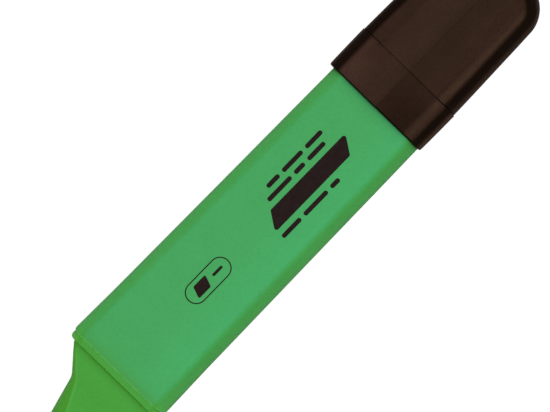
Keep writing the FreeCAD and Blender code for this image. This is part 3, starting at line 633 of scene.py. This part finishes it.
def bar(x0, x1, y, h, r=None, n=6):
    """Rounded bar from x0 to x1, of height h about y."""
    r = min(h / 2 if r is None else r, h / 2, (x1 - x0) / 2)
    pts = []
    for cx_, cy_, a0 in ((x1 - r, y + h / 2 - r, 90), (x0 + r, y + h / 2 - r, 180), (x0 + r, y - h / 2 + r, 270), (x1 - r, y - h / 2 + r, 0)):
        start = a0 - 90
        if a0 == 90:
            start = 0
        for i in range(n + 1):
            a = math.radians(start + 90 * i / n) if a0 != 0 else math.radians(270 + 90 * i / n)
            pts.append((cx_ + r * math.cos(a), cy_ + r * math.sin(a)))
    return pts


def rounded_poly(corners, r, n=5):
    """A polygon with rounded corners, anticlockwise."""
    out = []
    m = len(corners)
    for i in range(m):
        p, c, q = (Vector(corners[(i + k) % m]) for k in (-1, 0, 1))
        u, v = (p - c).normalized(), (q - c).normalized()
        ang = u.angle(v)
        t = r / math.tan(ang / 2)
        a, b = c + u * t, c + v * t
        centre = c + (u + v).normalized() * (r / math.sin(ang / 2))
        a0 = math.atan2(a.y - centre.y, a.x - centre.x)
        a1 = math.atan2(b.y - centre.y, b.x - centre.x)
        while a1 - a0 > math.pi:
            a1 -= 2 * math.pi
        while a1 - a0 < -math.pi:
            a1 += 2 * math.pi
        for k in range(n + 1):
            f = a0 + (a1 - a0) * k / n
            out.append((centre.x + r * math.cos(f), centre.y + r * math.sin(f)))
    return out


INK_UP, INK_DOWN = 0.018, 0.05
marks = []
# two short rows of dashes, a broad slanted swatch between them, and a lower row
X0 = X_MOUTH - 33.0
for y, h, dashes in (
    (4.55, 0.95, ((6.6, 10.0), (11.0, 16.6), (17.6, 22.2))),
    (2.55, 0.95, ((4.8, 11.4), (12.4, 15.2), (16.2, 21.0))),
    (-4.6, 0.95, ((1.6, 6.8), (7.8, 14.4), (15.4, 17.8))),
):
    for a, b in dashes:
        marks.append(bar(X0 + a, X0 + b, y, h))
marks.append(rounded_poly([(X0 + 1.2, -2.9), (X0 + 22.6, -2.9), (X0 + 25.2, 0.9), (X0 + 3.8, 0.9)], 0.5))
print_large = plates("print_rows", marks, lambda x: face_z(x) - INK_DOWN, lambda x: face_z(x) + INK_UP)
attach(print_large, "pen")

PX, PY = X_MOUTH - 47.9, 0.0


def pill_frame(cx_, cy_, w, h, line):
    outer_p = bar(cx_ - w / 2, cx_ + w / 2, cy_, h, n=12)
    inner_p = bar(cx_ - w / 2 + line, cx_ + w / 2 - line, cy_, h - 2 * line, n=12)
    return tidy(outer_p), tidy(inner_p)


outer_p, inner_p = pill_frame(PX, PY, 11.4, 4.6, 0.24)
n = len(outer_p)
verts, faces = [], []
for lvl in (-INK_DOWN, INK_UP):
    for pts in (outer_p, inner_p):
        verts += [(x, y, face_z(x) + lvl) for x, y in pts]
for i in range(n):
    j = (i + 1) % n
    o0, i0, o1, i1 = 0, n, 2 * n, 3 * n
    faces += [
        (o1 + i, o1 + j, i1 + j, i1 + i),
        (o0 + j, o0 + i, i0 + i, i0 + j),
        (o0 + i, o0 + j, o1 + j, o1 + i),
        (i0 + j, i0 + i, i1 + i, i1 + j),
    ]
v2, f2 = prism(
    [
        rounded_poly([(PX - 3.9, -1.25), (PX - 0.5, -1.25), (PX + 0.4, 1.25), (PX - 3.0, 1.25)], 0.3),
        bar(PX + 1.3, PX + 4.0, 0.0, 0.6),
    ],
    lambda x: face_z(x) - INK_DOWN,
    lambda x: face_z(x) + INK_UP,
)
base = len(verts)
verts += v2
faces += [tuple(base + i for i in f) for f in f2]
me = bpy.data.meshes.new("print_pill")
me.from_pydata([(x * MM, y * MM, (z + AXIS) * MM) for x, y, z in verts], [], faces)
bm = bmesh.new()
bm.from_mesh(me)
bmesh.ops.recalc_face_normals(bm, faces=bm.faces)
bm.to_mesh(me)
bm.free()
print_small = bpy.data.objects.new("print_pill", me)
bpy.context.scene.collection.objects.link(print_small)
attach(print_small, "pen")


# ------------------------------------------------------------------ materials
def node(nt, kind, **kw):
    n_ = nt.nodes.new(kind)
    for k, v in kw.items():
        setattr(n_, k, v)
    return n_


def srgb(r, g, b):
    def f(c):
        c /= 255.0
        return c / 12.92 if c <= 0.04045 else ((c + 0.055) / 1.055) ** 2.4

    return (f(r), f(g), f(b), 1.0)


def start(name):
    m = bpy.data.materials.new(name)
    m.use_nodes = True
    nt = m.node_tree
    nt.nodes.clear()
    out = node(nt, "ShaderNodeOutputMaterial")
    p = node(nt, "ShaderNodeBsdfPrincipled")
    nt.links.new(p.outputs["BSDF"], out.inputs["Surface"])
    tc = node(nt, "ShaderNodeTexCoord")
    return m, nt, p, tc


def noise(nt, tc, scale, detail=3.0, stretch=None, rough=0.55):
    n_ = node(nt, "ShaderNodeTexNoise")
    n_.inputs["Scale"].default_value = scale
    n_.inputs["Detail"].default_value = detail
    n_.inputs["Roughness"].default_value = rough
    src = tc.outputs["Object"]
    if stretch:
        mp = node(nt, "ShaderNodeMapping")
        mp.inputs["Scale"].default_value = stretch
        nt.links.new(src, mp.inputs["Vector"])
        src = mp.outputs["Vector"]
    nt.links.new(src, n_.inputs["Vector"])
    return n_.outputs["Fac"]


def map_range(nt, src, a, b, c, d, smooth=True):
    m = node(nt, "ShaderNodeMapRange")
    if smooth:
        m.interpolation_type = "SMOOTHSTEP"
    m.inputs["From Min"].default_value = a
    m.inputs["From Max"].default_value = b
    m.inputs["To Min"].default_value = c
    m.inputs["To Max"].default_value = d
    nt.links.new(src, m.inputs["Value"])
    return m.outputs["Result"]


def mix(nt, fac, a, b, mode="MIX"):
    m = node(nt, "ShaderNodeMix", data_type="RGBA", blend_type=mode)
    m.clamp_factor = True
    if isinstance(fac, float):
        m.inputs[0].default_value = fac
    else:
        nt.links.new(fac, m.inputs[0])
    for i, v in ((6, a), (7, b)):
        if isinstance(v, tuple):
            m.inputs[i].default_value = v
        else:
            nt.links.new(v, m.inputs[i])
    return m.outputs[2]


def math_node(nt, op, a, b=None):
    m = node(nt, "ShaderNodeMath", operation=op)
    for i, v in enumerate((a, b)):
        if v is None:
            continue
        if isinstance(v, (int, float)):
            m.inputs[i].default_value = v
        else:
            nt.links.new(v, m.inputs[i])
    return m.outputs[0]


def ramp(nt, src, stops):
    """Piecewise linear grey value over src, as (position, value) pairs, values up to 1."""
    r = node(nt, "ShaderNodeValToRGB")
    el = r.color_ramp.elements
    while len(el) > 1:
        el.remove(el[-1])
    for i, (pos, v) in enumerate(stops):
        e = el[0] if i == 0 else el.new(pos)
        e.position = pos
        e.color = (v, v, v, 1.0)
    nt.links.new(src, r.inputs[0])
    return r.outputs[0]


def grey_mul(nt, col, factor):
    """Scales a colour by a value near one."""
    comb = node(nt, "ShaderNodeCombineColor")
    for i in range(3):
        nt.links.new(factor, comb.inputs[i])
    return mix(nt, 1.0, col, comb.outputs[0], "MULTIPLY")


def bump(nt, p, height, strength, distance):
    b = node(nt, "ShaderNodeBump")
    b.inputs["Strength"].default_value = strength
    b.inputs["Distance"].default_value = distance
    nt.links.new(height, b.inputs["Height"])
    nt.links.new(b.outputs["Normal"], p.inputs["Normal"])


def up_ness(nt, tc):
    """How squarely the surface faces along the pen's thickness, 0 to 1."""
    sep = node(nt, "ShaderNodeSeparateXYZ")
    nt.links.new(tc.outputs["Normal"], sep.inputs[0])
    return math_node(nt, "ABSOLUTE", sep.outputs["Z"])


def closeness(nt, distance):
    """How much of the open side of the surface is taken up by solids within the distance."""
    ao = node(nt, "ShaderNodeAmbientOcclusion")
    ao.samples = 16
    ao.inputs["Distance"].default_value = distance
    return math_node(nt, "SUBTRACT", 1.0, ao.outputs["AO"])


def place(nt, tc):
    sep = node(nt, "ShaderNodeSeparateXYZ")
    nt.links.new(tc.outputs["Object"], sep.inputs[0])
    return sep.outputs


# lit and shaded copies of one green: the face colours carry a painted sheen, the edge colours are painted shade on the
# roundings
GREEN_FACE = srgb(71, 161, 80)
GREEN_FACE_R = srgb(71, 166, 88)      # painted light: the -Y part of the wide face is painted a little cooler and brighter
GREEN_EDGE = srgb(73, 160, 77)
GREEN_EDGE_R = srgb(68, 152, 68)
GREEN_RIM = srgb(72, 151, 54)
GREEN_RIM_EDGE = srgb(76, 165, 64)
HOLDER_FACE = srgb(72, 156, 48)
HOLDER_EDGE = srgb(72, 154, 41)
# painted light on the flange's turned corners
FLANGE_EDGE_LIT = srgb(79, 166, 57)


def green_plastic(name, face, edge, spec_tint, face_r=None, edge_r=None):
    m, nt, p, tc = start(name)
    up = up_ness(nt, tc)
    xyz = place(nt, tc)
    # painted light: towards -Y the face is painted cooler and brighter, and the rounding darker
    if face_r is not None:
        face = mix(nt, map_range(nt, xyz["Y"], 0.0005, -0.0075, 0.0, 1.0), face, face_r)
        edge = mix(nt, map_range(nt, xyz["Y"], 0.002, -0.006, 0.0, 1.0), edge, edge_r)
    # painted sheen on the wide faces and painted shade on the roundings, chosen by how squarely the surface faces up
    col = mix(nt, map_range(nt, up, 0.80, 0.985, 0.0, 1.0), edge, face)
    # slight unevenness of the tint, as in a thin coloured wall
    cloud = noise(nt, tc, 130.0, 3.0)
    col = grey_mul(nt, col, map_range(nt, cloud, 0.3, 0.7, 0.985, 1.015))
    fine = noise(nt, tc, 1500.0, 2.0)
    col = grey_mul(nt, col, map_range(nt, fine, 0.3, 0.7, 0.97, 1.03))
    nt.links.new(col, p.inputs["Base Color"])
    r = map_range(nt, noise(nt, tc, 240.0, 4.0), 0.3, 0.7, 0.30, 0.38)
    nt.links.new(r, p.inputs["Roughness"])
    p.inputs["Specular IOR Level"].default_value = 0.25
    p.inputs["Specular Tint"].default_value = spec_tint
    peel = noise(nt, tc, 420.0, 2.0)
    grain = noise(nt, tc, 2600.0, 3.0)
    h = math_node(nt, "ADD", math_node(nt, "MULTIPLY", peel, 1.0), math_node(nt, "MULTIPLY", grain, 0.22))
    bump(nt, p, h, 0.10, 0.00012)
    return m, nt, p, tc, col


m_barrel, nt, p, tc, col = green_plastic("barrel_green", GREEN_FACE, GREEN_EDGE, (0.20, 1.0, 0.95, 1.0), GREEN_FACE_R, GREEN_EDGE_R)
# towards the rim, where the barrel flares, the faces lose their painted sheen and turn yellower and the roundings are
# painted lighter; the rim's edge carries a painted highlight; painted shade close to the cap's mouth, when the cap is
# there
xyz = place(nt, tc)
along = map_range(nt, xyz["X"], X_RIM * MM, (X_RIM + 10.0) * MM, 0.0, 1.0, smooth=False)
# painted light near the rim: yellower lit and shaded copies replace the face's painted sheen
rim = ramp(nt, along, [(0.0, 1.0), (0.07, 0.88), (0.14, 0.50), (0.25, 0.27), (0.40, 0.17), (0.8, 0.06), (1.0, 0.0)])
col = mix(nt, rim, col, mix(nt, map_range(nt, up_ness(nt, tc), 0.80, 0.985, 0.0, 1.0), GREEN_RIM_EDGE, GREEN_RIM))
# painted highlight along the rim's front edge, broken up by noise
rim_highlight_noise = noise(nt, tc, 700.0, 2.0)
rim_highlight = ramp(nt, along, [(0.0, 0.62), (0.013, 0.58), (0.022, 0.16), (0.042, 0.0)])
rim_highlight = math_node(nt, "MULTIPLY", rim_highlight, map_range(nt, rim_highlight_noise, 0.3, 0.7, 0.40, 1.0))
col = mix(nt, rim_highlight, col, srgb(124, 206, 104))
# painted shade: ambient occlusion from the cap's mouth darkens the barrel next to it
near = map_range(nt, xyz["X"], (X_MOUTH - 4.0) * MM, (X_MOUTH - 3.0) * MM, 0.0, 1.0)
cap_mouth_shade = math_node(nt, "MULTIPLY", closeness(nt, 0.006), 1.95)
near = math_node(nt, "MULTIPLY", near, map_range(nt, xyz["Z"], 0.0045, 0.0085, 0.0, 1.0))
on_skin = map_range(nt, xyz["X"], (X_MOUTH + 0.02) * MM, (X_MOUTH + 0.06) * MM, 1.0, 0.0)
cap_mouth_shade = math_node(nt, "MULTIPLY", cap_mouth_shade, math_node(nt, "MULTIPLY", near, on_skin))
col = mix(nt, cap_mouth_shade, col, srgb(24, 62, 14))
nt.links.new(col, p.inputs["Base Color"])

m_holder, nt, p, tc, col = green_plastic("holder_green", HOLDER_FACE, HOLDER_EDGE, (0.25, 1.0, 0.6, 1.0))
# a painted highlight along the crease of the nose, and painted shade on the facet outside it
xyz = place(nt, tc)
y_mm = math_node(nt, "MULTIPLY", math_node(nt, "ABSOLUTE", xyz["Y"]), 1000.0)
x_mm = math_node(nt, "MULTIPLY", xyz["X"], 1000.0)


def line_through(x0, y0, x1, y1):
    k = (y1 - y0) / (x1 - x0)
    return math_node(nt, "ADD", math_node(nt, "MULTIPLY", x_mm, k), y0 - k * x0)


crease_y = math_node(nt, "MAXIMUM", line_through(X_BASE, 10.0, X_KINK, 4.77), line_through(X_KINK, 4.77, -57.0, 1.94))
off = math_node(nt, "ABSOLUTE", math_node(nt, "SUBTRACT", y_mm, crease_y))
crease_highlight = map_range(nt, off, 0.05, 0.42, 0.30, 0.0)
crease_highlight = math_node(nt, "MULTIPLY", crease_highlight, map_range(nt, xyz["X"], (X_FLANGE - 0.1) * MM, (X_FLANGE - 0.6) * MM, 0.0, 1.0))
col = mix(nt, crease_highlight, col, srgb(104, 190, 92))
# painted shade on the facet outside the crease
facet_shade = map_range(nt, math_node(nt, "SUBTRACT", y_mm, crease_y), 0.15, 0.6, 0.0, 0.10)
facet_shade = math_node(nt, "MULTIPLY", facet_shade, map_range(nt, xyz["X"], X_KINK * MM, (X_KINK - 3.0) * MM, 0.8, 1.0))
col = mix(nt, facet_shade, col, srgb(58, 134, 26))
# painted shade on the shoulder, deepening towards the flange
deep = map_range(nt, xyz["X"], (X_BASE - 1.7) * MM, (X_BASE + 0.1) * MM, 0.0, 0.42)
deep = math_node(nt, "MULTIPLY", deep, map_range(nt, xyz["X"], (X_FLANGE - 0.06) * MM, (X_FLANGE - 0.01) * MM, 1.0, 0.0))
col = mix(nt, deep, col, srgb(58, 128, 20))
# painted light on the flange's turned corners, which are painted lighter than its face; behind its front edge the
# flange is a shade darker
rim_up = up_ness(nt, tc)
on_flange = map_range(nt, xyz["X"], (X_FLANGE - 0.02) * MM, (X_FLANGE + 0.02) * MM, 0.0, 1.0)
flange_edge_light = math_node(nt, "MULTIPLY", map_range(nt, rim_up, 0.97, 0.80, 0.0, 1.0), on_flange)
col = grey_mul(nt, col, map_range(nt, xyz["X"], (X_FLANGE + 0.1) * MM, (X_FLANGE + 0.3) * MM, 1.0, 0.965))
col = mix(nt, flange_edge_light, col, FLANGE_EDGE_LIT)
nt.links.new(col, p.inputs["Base Color"])


GLOSS = 0.10
# colours of the sheen painted on the cap's faces
SHEEN_RED, SHEEN_OLIVE = (0.0117, 0.0058, 0.0042, 1.0), (0.0112, 0.0066, 0.0037, 1.0)      # linear
# browns of the cap's side walls, and the painted highlights on the turns above them
SIDE_R, SIDE_R_HIGHLIGHT = srgb(41, 28, 20), srgb(59, 41, 30)
SIDE_L, SIDE_L_HIGHLIGHT = srgb(41, 29, 20), srgb(54, 38, 27)


def cap_material():
    m, nt, p, tc = start("cap_brown_black")
    dark = srgb(20, 12, 7)
    face = srgb(27, 17, 11)
    up = up_ness(nt, tc)
    xyz = place(nt, tc)
    r = map_range(nt, noise(nt, tc, 500.0, 4.0), 0.3, 0.7, 0.22, 0.29)
    nt.links.new(r, p.inputs["Roughness"])
    # the gloss, and the sheen painted into the colour with it, differ a little either side of the moulding's witness
    # line, and more on the gripping band than on the crown; the peaks over the bevels are painted highlights
    across = map_range(nt, xyz["Y"], -0.0128, 0.0128, 0.0, 1.0, smooth=False)

    def stops(pairs):
        return [((y + 12.8) / 25.6, v / 2) for y, v in pairs]

    e = ECC
    on_band = ramp(nt, across, stops([
        (-12.8, 0.7), (-9.2, 0.86), (-8.5, 1.15), (-8.0, 0.98), (-7.5, 0.74), (-7.1, 0.42), (-6.6, 0.34), (-3.6, 0.38),
        (-2.0, 0.47), (e - 0.07, 0.56), (e + 0.07, 0.86), (1.2, 0.92), (4.4, 1.07), (7.6, 1.28), (9.2, 1.52), (9.9, 1.48), (10.6, 1.0), (12.8, 1.2),
    ]))
    on_crown = ramp(nt, across, stops([
        (-12.8, 0.70), (-9.5, 0.72), (-9.1, 0.98), (-8.6, 1.38), (-8.1, 1.32), (-7.5, 0.98), (-6.8, 0.88), (-4.4, 0.88), (-2.0, 0.74),
        (e - 0.07, 0.76), (e + 0.07, 0.86), (2.0, 1.04), (7.0, 1.06), (8.2, 0.78), (9.2, 0.92), (12.8, 0.9),
    ]))
    fade = map_range(nt, xyz["X"], (X_MOUTH + 3.0) * MM, (X_STEP + 0.5) * MM, 0.0, 0.60)
    past = map_range(nt, xyz["X"], (X_STEP - 0.03) * MM, (X_STEP + 0.03) * MM, 0.0, 1.0)
    gloss_and_sheen = mix(nt, math_node(nt, "MAXIMUM", fade, past), on_band, on_crown)
    # painted light: the band's +Y side is painted a little brighter by the mouth; the -Y bevel and the middle change a
    # little towards the step, and painted shade darkens the band just before it
    left = map_range(nt, xyz["Y"], 0.0035, 0.0065, 0.0, 1.0)
    gain = map_range(nt, xyz["X"], (X_MOUTH + 1.0) * MM, X_STEP * MM, 1.19, 0.90)
    gain = mix(nt, map_range(nt, xyz["Y"], 0.0086, 0.0096, 0.0, 1.0), gain, (1.22, 1.22, 1.22, 1.0))
    gain = mix(nt, left, (1.0, 1.0, 1.0, 1.0), gain)
    bevel = map_range(nt, xyz["Y"], -0.0072, -0.0080, 0.0, 1.0)
    gain_b = map_range(nt, xyz["X"], (X_MOUTH + 4.0) * MM, X_STEP * MM, 1.0, 1.14)
    gain = mix(nt, bevel, gain, gain_b)
    gain = mix(nt, past, gain, (1.0, 1.0, 1.0, 1.0))
    by_step = map_range(nt, xyz["X"], (X_STEP - 1.1) * MM, (X_STEP - 0.1) * MM, 1.0, 0.88)
    gain = math_node(nt, "MULTIPLY", gain, mix(nt, past, by_step, (1.0, 1.0, 1.0, 1.0)))
    gloss_and_sheen = math_node(nt, "MULTIPLY", gloss_and_sheen, gain)
    # a painted dark line inside the crown's -Y bevel that dies out towards the closed end, where the bevel's painted
    # highlight narrows
    line = math_node(nt, "ABSOLUTE", math_node(nt, "SUBTRACT", xyz["Y"], -0.00722))
    line = map_range(nt, line, 0.00006, 0.00042, 0.24, 0.0)
    line = math_node(nt, "MULTIPLY", line, math_node(nt, "MULTIPLY", past, map_range(nt, xyz["X"], 0.0480, 0.0600, 1.0, 0.0)))
    gloss_and_sheen = math_node(nt, "MULTIPLY", gloss_and_sheen, math_node(nt, "SUBTRACT", 1.0, line))
    bevel_highlight_narrowing = math_node(nt, "MULTIPLY", map_range(nt, xyz["Y"], -0.0081, -0.0089, 0.0, 0.26), map_range(nt, xyz["X"], 0.0500, 0.0590, 0.0, 1.0))
    gloss_and_sheen = math_node(nt, "MULTIPLY", gloss_and_sheen, math_node(nt, "SUBTRACT", 1.0, bevel_highlight_narrowing))
    # less gloss and less painted sheen along the witness line, so that it reads as a fine dark line of painted shade
    seam = math_node(nt, "ABSOLUTE", math_node(nt, "SUBTRACT", xyz["Y"], ECC * MM))
    gloss_and_sheen = math_node(nt, "MULTIPLY", gloss_and_sheen, map_range(nt, seam, 0.00003, 0.00015, 0.68, 1.0))
    # a little olive along the middle and on the -Y bevel, a little redder elsewhere
    middle = ramp(nt, across, [(0.0, 0.0), (0.13, 0.0), (0.155, 0.85), (0.18, 0.85), (0.21, 0.0), (0.27, 0.1), (0.42, 0.8), (0.52, 1.0), (0.62, 0.7), (0.78, 0.0), (1.0, 0.0)])
    hue = mix(nt, map_range(nt, noise(nt, tc, 130.0, 3.0), 0.3, 0.7, -0.15, 1.05), middle, (0.5, 0.5, 0.5, 1.0))
    # painted shade on the roundings, which take a darker copy of the brown, and a painted sheen added to the faces,
    # stronger where the gloss is higher
    flat = map_range(nt, up, 0.90, 0.985, 0.0, 1.0)
    col = mix(nt, flat, dark, face)
    painted_sheen = grey_mul(nt, mix(nt, hue, SHEEN_RED, SHEEN_OLIVE), math_node(nt, "MULTIPLY", math_node(nt, "MULTIPLY", gloss_and_sheen, 2.0), flat))
    col = mix(nt, 1.0, col, painted_sheen, "ADD")
    nsep = node(nt, "ShaderNodeSeparateXYZ")
    nt.links.new(tc.outputs["Normal"], nsep.inputs[0])
    # the side walls are a shade lighter than the roundings above them, which carry painted shade, and the turn between
    # the two carries a painted highlight
    side = nsep.outputs["Y"]
    edge_r = mix(nt, past, SIDE_R_HIGHLIGHT, srgb(47, 32, 23))
    col = mix(nt, map_range(nt, side, -0.66, -0.90, 0.0, 1.0), col, edge_r)
    col = mix(nt, map_range(nt, side, -0.92, -0.985, 0.0, 1.0), col, SIDE_R)
    col = mix(nt, map_range(nt, side, 0.82, 0.93, 0.0, 1.0), col, SIDE_L_HIGHLIGHT)
    col = mix(nt, map_range(nt, side, 0.95, 0.99, 0.0, 1.0), col, SIDE_L)
    # painted highlight on the turn of the closed end, with the side-wall brown below it
    end = map_range(nt, nsep.outputs["X"], 0.12, 0.45, 0.0, 1.0)
    col = mix(nt, math_node(nt, "MULTIPLY", end, map_range(nt, up, 0.62, 0.34, 0.0, 1.0)), col, srgb(53, 37, 27))
    col = mix(nt, math_node(nt, "MULTIPLY", end, map_range(nt, up, 0.28, 0.12, 0.0, 1.0)), col, SIDE_L)
    cloud = noise(nt, tc, 160.0, 3.0)
    col = grey_mul(nt, col, map_range(nt, cloud, 0.3, 0.7, 0.92, 1.08))
    fine = noise(nt, tc, 2400.0, 3.0)
    col = grey_mul(nt, col, map_range(nt, fine, 0.3, 0.7, 0.86, 1.14))
    nt.links.new(col, p.inputs["Base Color"])
    level = math_node(nt, "MULTIPLY", gloss_and_sheen, GLOSS * 2)
    patch = map_range(nt, noise(nt, tc, 210.0, 3.0), 0.3, 0.7, 0.93, 1.07)
    level = math_node(nt, "MULTIPLY", level, patch)
    speck = map_range(nt, noise(nt, tc, 2600.0, 2.0), 0.3, 0.7, 0.84, 1.16)
    level = math_node(nt, "MULTIPLY", level, speck)
    # a worn glint on the crown's edge at the step
    glint = math_node(nt, "ABSOLUTE", math_node(nt, "SUBTRACT", xyz["X"], (X_STEP + 0.20) * MM))
    glint = math_node(nt, "MULTIPLY", map_range(nt, glint, 0.00004, 0.00022, 0.30, 0.0), map_range(nt, xyz["Y"], -0.002, 0.003, 0.2, 1.0))
    level = math_node(nt, "MULTIPLY", level, math_node(nt, "ADD", glint, 1.0))
    lip = map_range(nt, xyz["X"], (X_MOUTH + 0.02) * MM, (X_MOUTH + 0.34) * MM, 0.35, 1.0)
    level = math_node(nt, "MULTIPLY", level, lip)
    nt.links.new(level, p.inputs["Specular IOR Level"])
    nt.links.new(mix(nt, hue, (1.0, 0.475, 0.375, 1.0), (1.0, 0.565, 0.34, 1.0)), p.inputs["Specular Tint"])
    grain = noise(nt, tc, 2200.0, 4.0)
    peel = noise(nt, tc, 380.0, 2.0)
    h = math_node(nt, "ADD", math_node(nt, "MULTIPLY", peel, 0.6), math_node(nt, "MULTIPLY", grain, 0.5))
    bump(nt, p, h, 0.16, 0.00012)
    return m


m_cap = cap_material()


def ink_material():
    m, nt, p, tc = start("print_ink")
    speck = noise(nt, tc, 2600.0, 3.0)
    col = mix(nt, map_range(nt, speck, 0.3, 0.7, 0.0, 1.0), srgb(26, 12, 12), srgb(36, 20, 19))
    nt.links.new(col, p.inputs["Base Color"])
    nt.links.new(map_range(nt, noise(nt, tc, 800.0), 0.3, 0.7, 0.42, 0.55), p.inputs["Roughness"])
    p.inputs["Specular IOR Level"].default_value = 0.06
    bump(nt, p, speck, 0.08, 0.00005)
    return m


m_ink = ink_material()


def nib_material():
    m, nt, p, tc = start("nib_fibre")
    long_ = noise(nt, tc, 1.0, 4.0, stretch=(260.0, 5200.0, 5200.0), rough=0.65)
    blot = noise(nt, tc, 420.0, 3.0)
    col = mix(nt, map_range(nt, long_, 0.3, 0.7, 0.0, 1.0), srgb(58, 176, 46), srgb(118, 226, 84))
    col = mix(nt, map_range(nt, blot, 0.4, 0.7, 0.0, 0.35), col, srgb(44, 150, 52))
    xyz = place(nt, tc)
    tip = map_range(nt, xyz["X"], (X_TIP + 0.2) * MM, (X_TIP + 4.0) * MM, 1.0, 0.0)
    col = mix(nt, math_node(nt, "MULTIPLY", tip, 0.35), col, srgb(52, 160, 40))
    nt.links.new(col, p.inputs["Base Color"])
    p.inputs["Roughness"].default_value = 0.72
    p.inputs["Specular IOR Level"].default_value = 0.3
    p.inputs["Sheen Weight"].default_value = 0.25
    p.inputs["Sheen Roughness"].default_value = 0.5
    h = math_node(nt, "ADD", long_, math_node(nt, "MULTIPLY", blot, 0.4))
    bump(nt, p, h, 0.55, 0.00012)
    return m


m_nib = nib_material()


def soft_material(name, a, b, scale, stretch, rough, strength, alpha=1.0):
    m, nt, p, tc = start(name)
    f = noise(nt, tc, scale, 4.0, stretch=stretch)
    nt.links.new(mix(nt, map_range(nt, f, 0.3, 0.7, 0.0, 1.0), a, b), p.inputs["Base Color"])
    nt.links.new(map_range(nt, f, 0.3, 0.7, rough - 0.06, rough + 0.06), p.inputs["Roughness"])
    p.inputs["Specular IOR Level"].default_value = 0.4
    bump(nt, p, f, strength, 0.00012)
    return m


m_pad = soft_material("reservoir_fibre", srgb(70, 190, 70), srgb(130, 230, 110), 1.0, (300.0, 4200.0, 4200.0), 0.8, 0.5)
m_film = soft_material("reservoir_film", srgb(196, 206, 198), srgb(222, 228, 222), 300.0, None, 0.28, 0.08)
m_liner = soft_material("liner", srgb(198, 196, 184), srgb(214, 212, 200), 700.0, None, 0.42, 0.12)


def give(obj, mat):
    obj.data.materials.clear()
    obj.data.materials.append(mat)


give(barrel, m_barrel)
give(holder, m_holder)
give(nib, m_nib)
give(cap, m_cap)
give(print_large, m_ink)
give(print_small, m_ink)
for name, mat in (("ink_reservoir", m_pad), ("reservoir_wrap", m_film), ("inner_cap", m_liner)):
    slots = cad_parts[name].material_slots
    if len(slots):
        for s in slots:
            s.material = mat
    else:
        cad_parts[name].data.materials.append(mat)

# ------------------------------------------------------------------ stage
bpy.ops.mesh.primitive_grid_add(x_subdivisions=8, y_subdivisions=8, size=8.0, location=(0, 0, -0.0002))
floor = bpy.context.object
floor.name = "floor"
fm, nt, p, tc = start("floor_white")
p.inputs["Base Color"].default_value = (0.05, 0.05, 0.05, 1.0)
p.inputs["Roughness"].default_value = 0.9
p.inputs["Specular IOR Level"].default_value = 0.0
p.inputs["Emission Color"].default_value = (1, 1, 1, 1)
lp = node(nt, "ShaderNodeLightPath")
glow = map_range(nt, lp.outputs["Is Glossy Ray"], 0.0, 1.0, 1.70, 0.12, smooth=False)
glow = math_node(nt, "SUBTRACT", glow, math_node(nt, "MULTIPLY", lp.outputs["Is Camera Ray"], 0.70))
# painted contact shadow: the floor's glow drops where the pen comes close to it
contact_shadow = map_range(nt, closeness(nt, 0.0016), 0.0, 0.9, 1.0, 0.25, smooth=False)
nt.links.new(math_node(nt, "MULTIPLY", glow, contact_shadow), p.inputs["Emission Strength"])
give(floor, fm)

scene = bpy.context.scene
world = bpy.data.worlds.new("studio")
scene.world = world
world.use_nodes = True
nt = world.node_tree
nt.nodes.clear()
wo = node(nt, "ShaderNodeOutputWorld")
bg_cam = node(nt, "ShaderNodeBackground")
bg_cam.inputs["Color"].default_value = (1, 1, 1, 1)
bg_cam.inputs["Strength"].default_value = 1.0
bg = node(nt, "ShaderNodeBackground")
bg.inputs["Color"].default_value = (1, 1, 1, 1)
bg.inputs["Strength"].default_value = 0.20
lp = node(nt, "ShaderNodeLightPath")
ms = node(nt, "ShaderNodeMixShader")
nt.links.new(lp.outputs["Is Camera Ray"], ms.inputs[0])
nt.links.new(bg.outputs[0], ms.inputs[1])
nt.links.new(bg_cam.outputs[0], ms.inputs[2])
nt.links.new(ms.outputs[0], wo.inputs["Surface"])


def area(name, location, target, size, power, color=(1, 1, 1)):
    l = bpy.data.lights.new(name, "AREA")
    l.shape = "RECTANGLE"
    l.size, l.size_y = size
    l.energy = power
    l.color = color
    o = bpy.data.objects.new(name, l)
    o.location = location
    d = Vector(target) - Vector(location)
    o.rotation_euler = d.to_track_quat("-Z", "Y").to_euler()
    o.visible_camera = False
    scene.collection.objects.link(o)
    return o


def panel(name, tilt, dist, size, radiance):
    """Soft panel aimed at the pen, tilted from overhead towards -Y by tilt degrees."""
    a = math.radians(tilt)
    power = radiance * math.pi * size[0] * size[1]
    return area(name, (0.0, -math.sin(a) * dist, math.cos(a) * dist), (0, 0, 0), size, power)


panel("soft_wide", 0.0, 1.2, (1.6, 1.40), 2.0)
panel("soft_key", 24.0, 1.0, (1.1, 0.36), 0.9)

# ------------------------------------------------------------------ camera
ROLL = math.radians(-45.76)
cam_data = bpy.data.cameras.new("camera")
cam_data.type = "PERSP"
cam_data.sensor_width = 36.0
DIST = 3.0
cam_data.lens = 36.0 * (DIST + 0.0055) / 0.110
cam_data.clip_end = 20.0
cam = bpy.data.objects.new("camera", cam_data)
cam.location = (1.46 * MM, 0.81 * MM, AXIS * MM + DIST)
cam.rotation_euler = (0.0, 0.0, ROLL)
scene.collection.objects.link(cam)
scene.camera = cam
scene.view_settings.view_transform = "Standard"
scene.view_settings.look = "None"
scene.view_settings.exposure = 0.0
scene.view_settings.gamma = 1.0
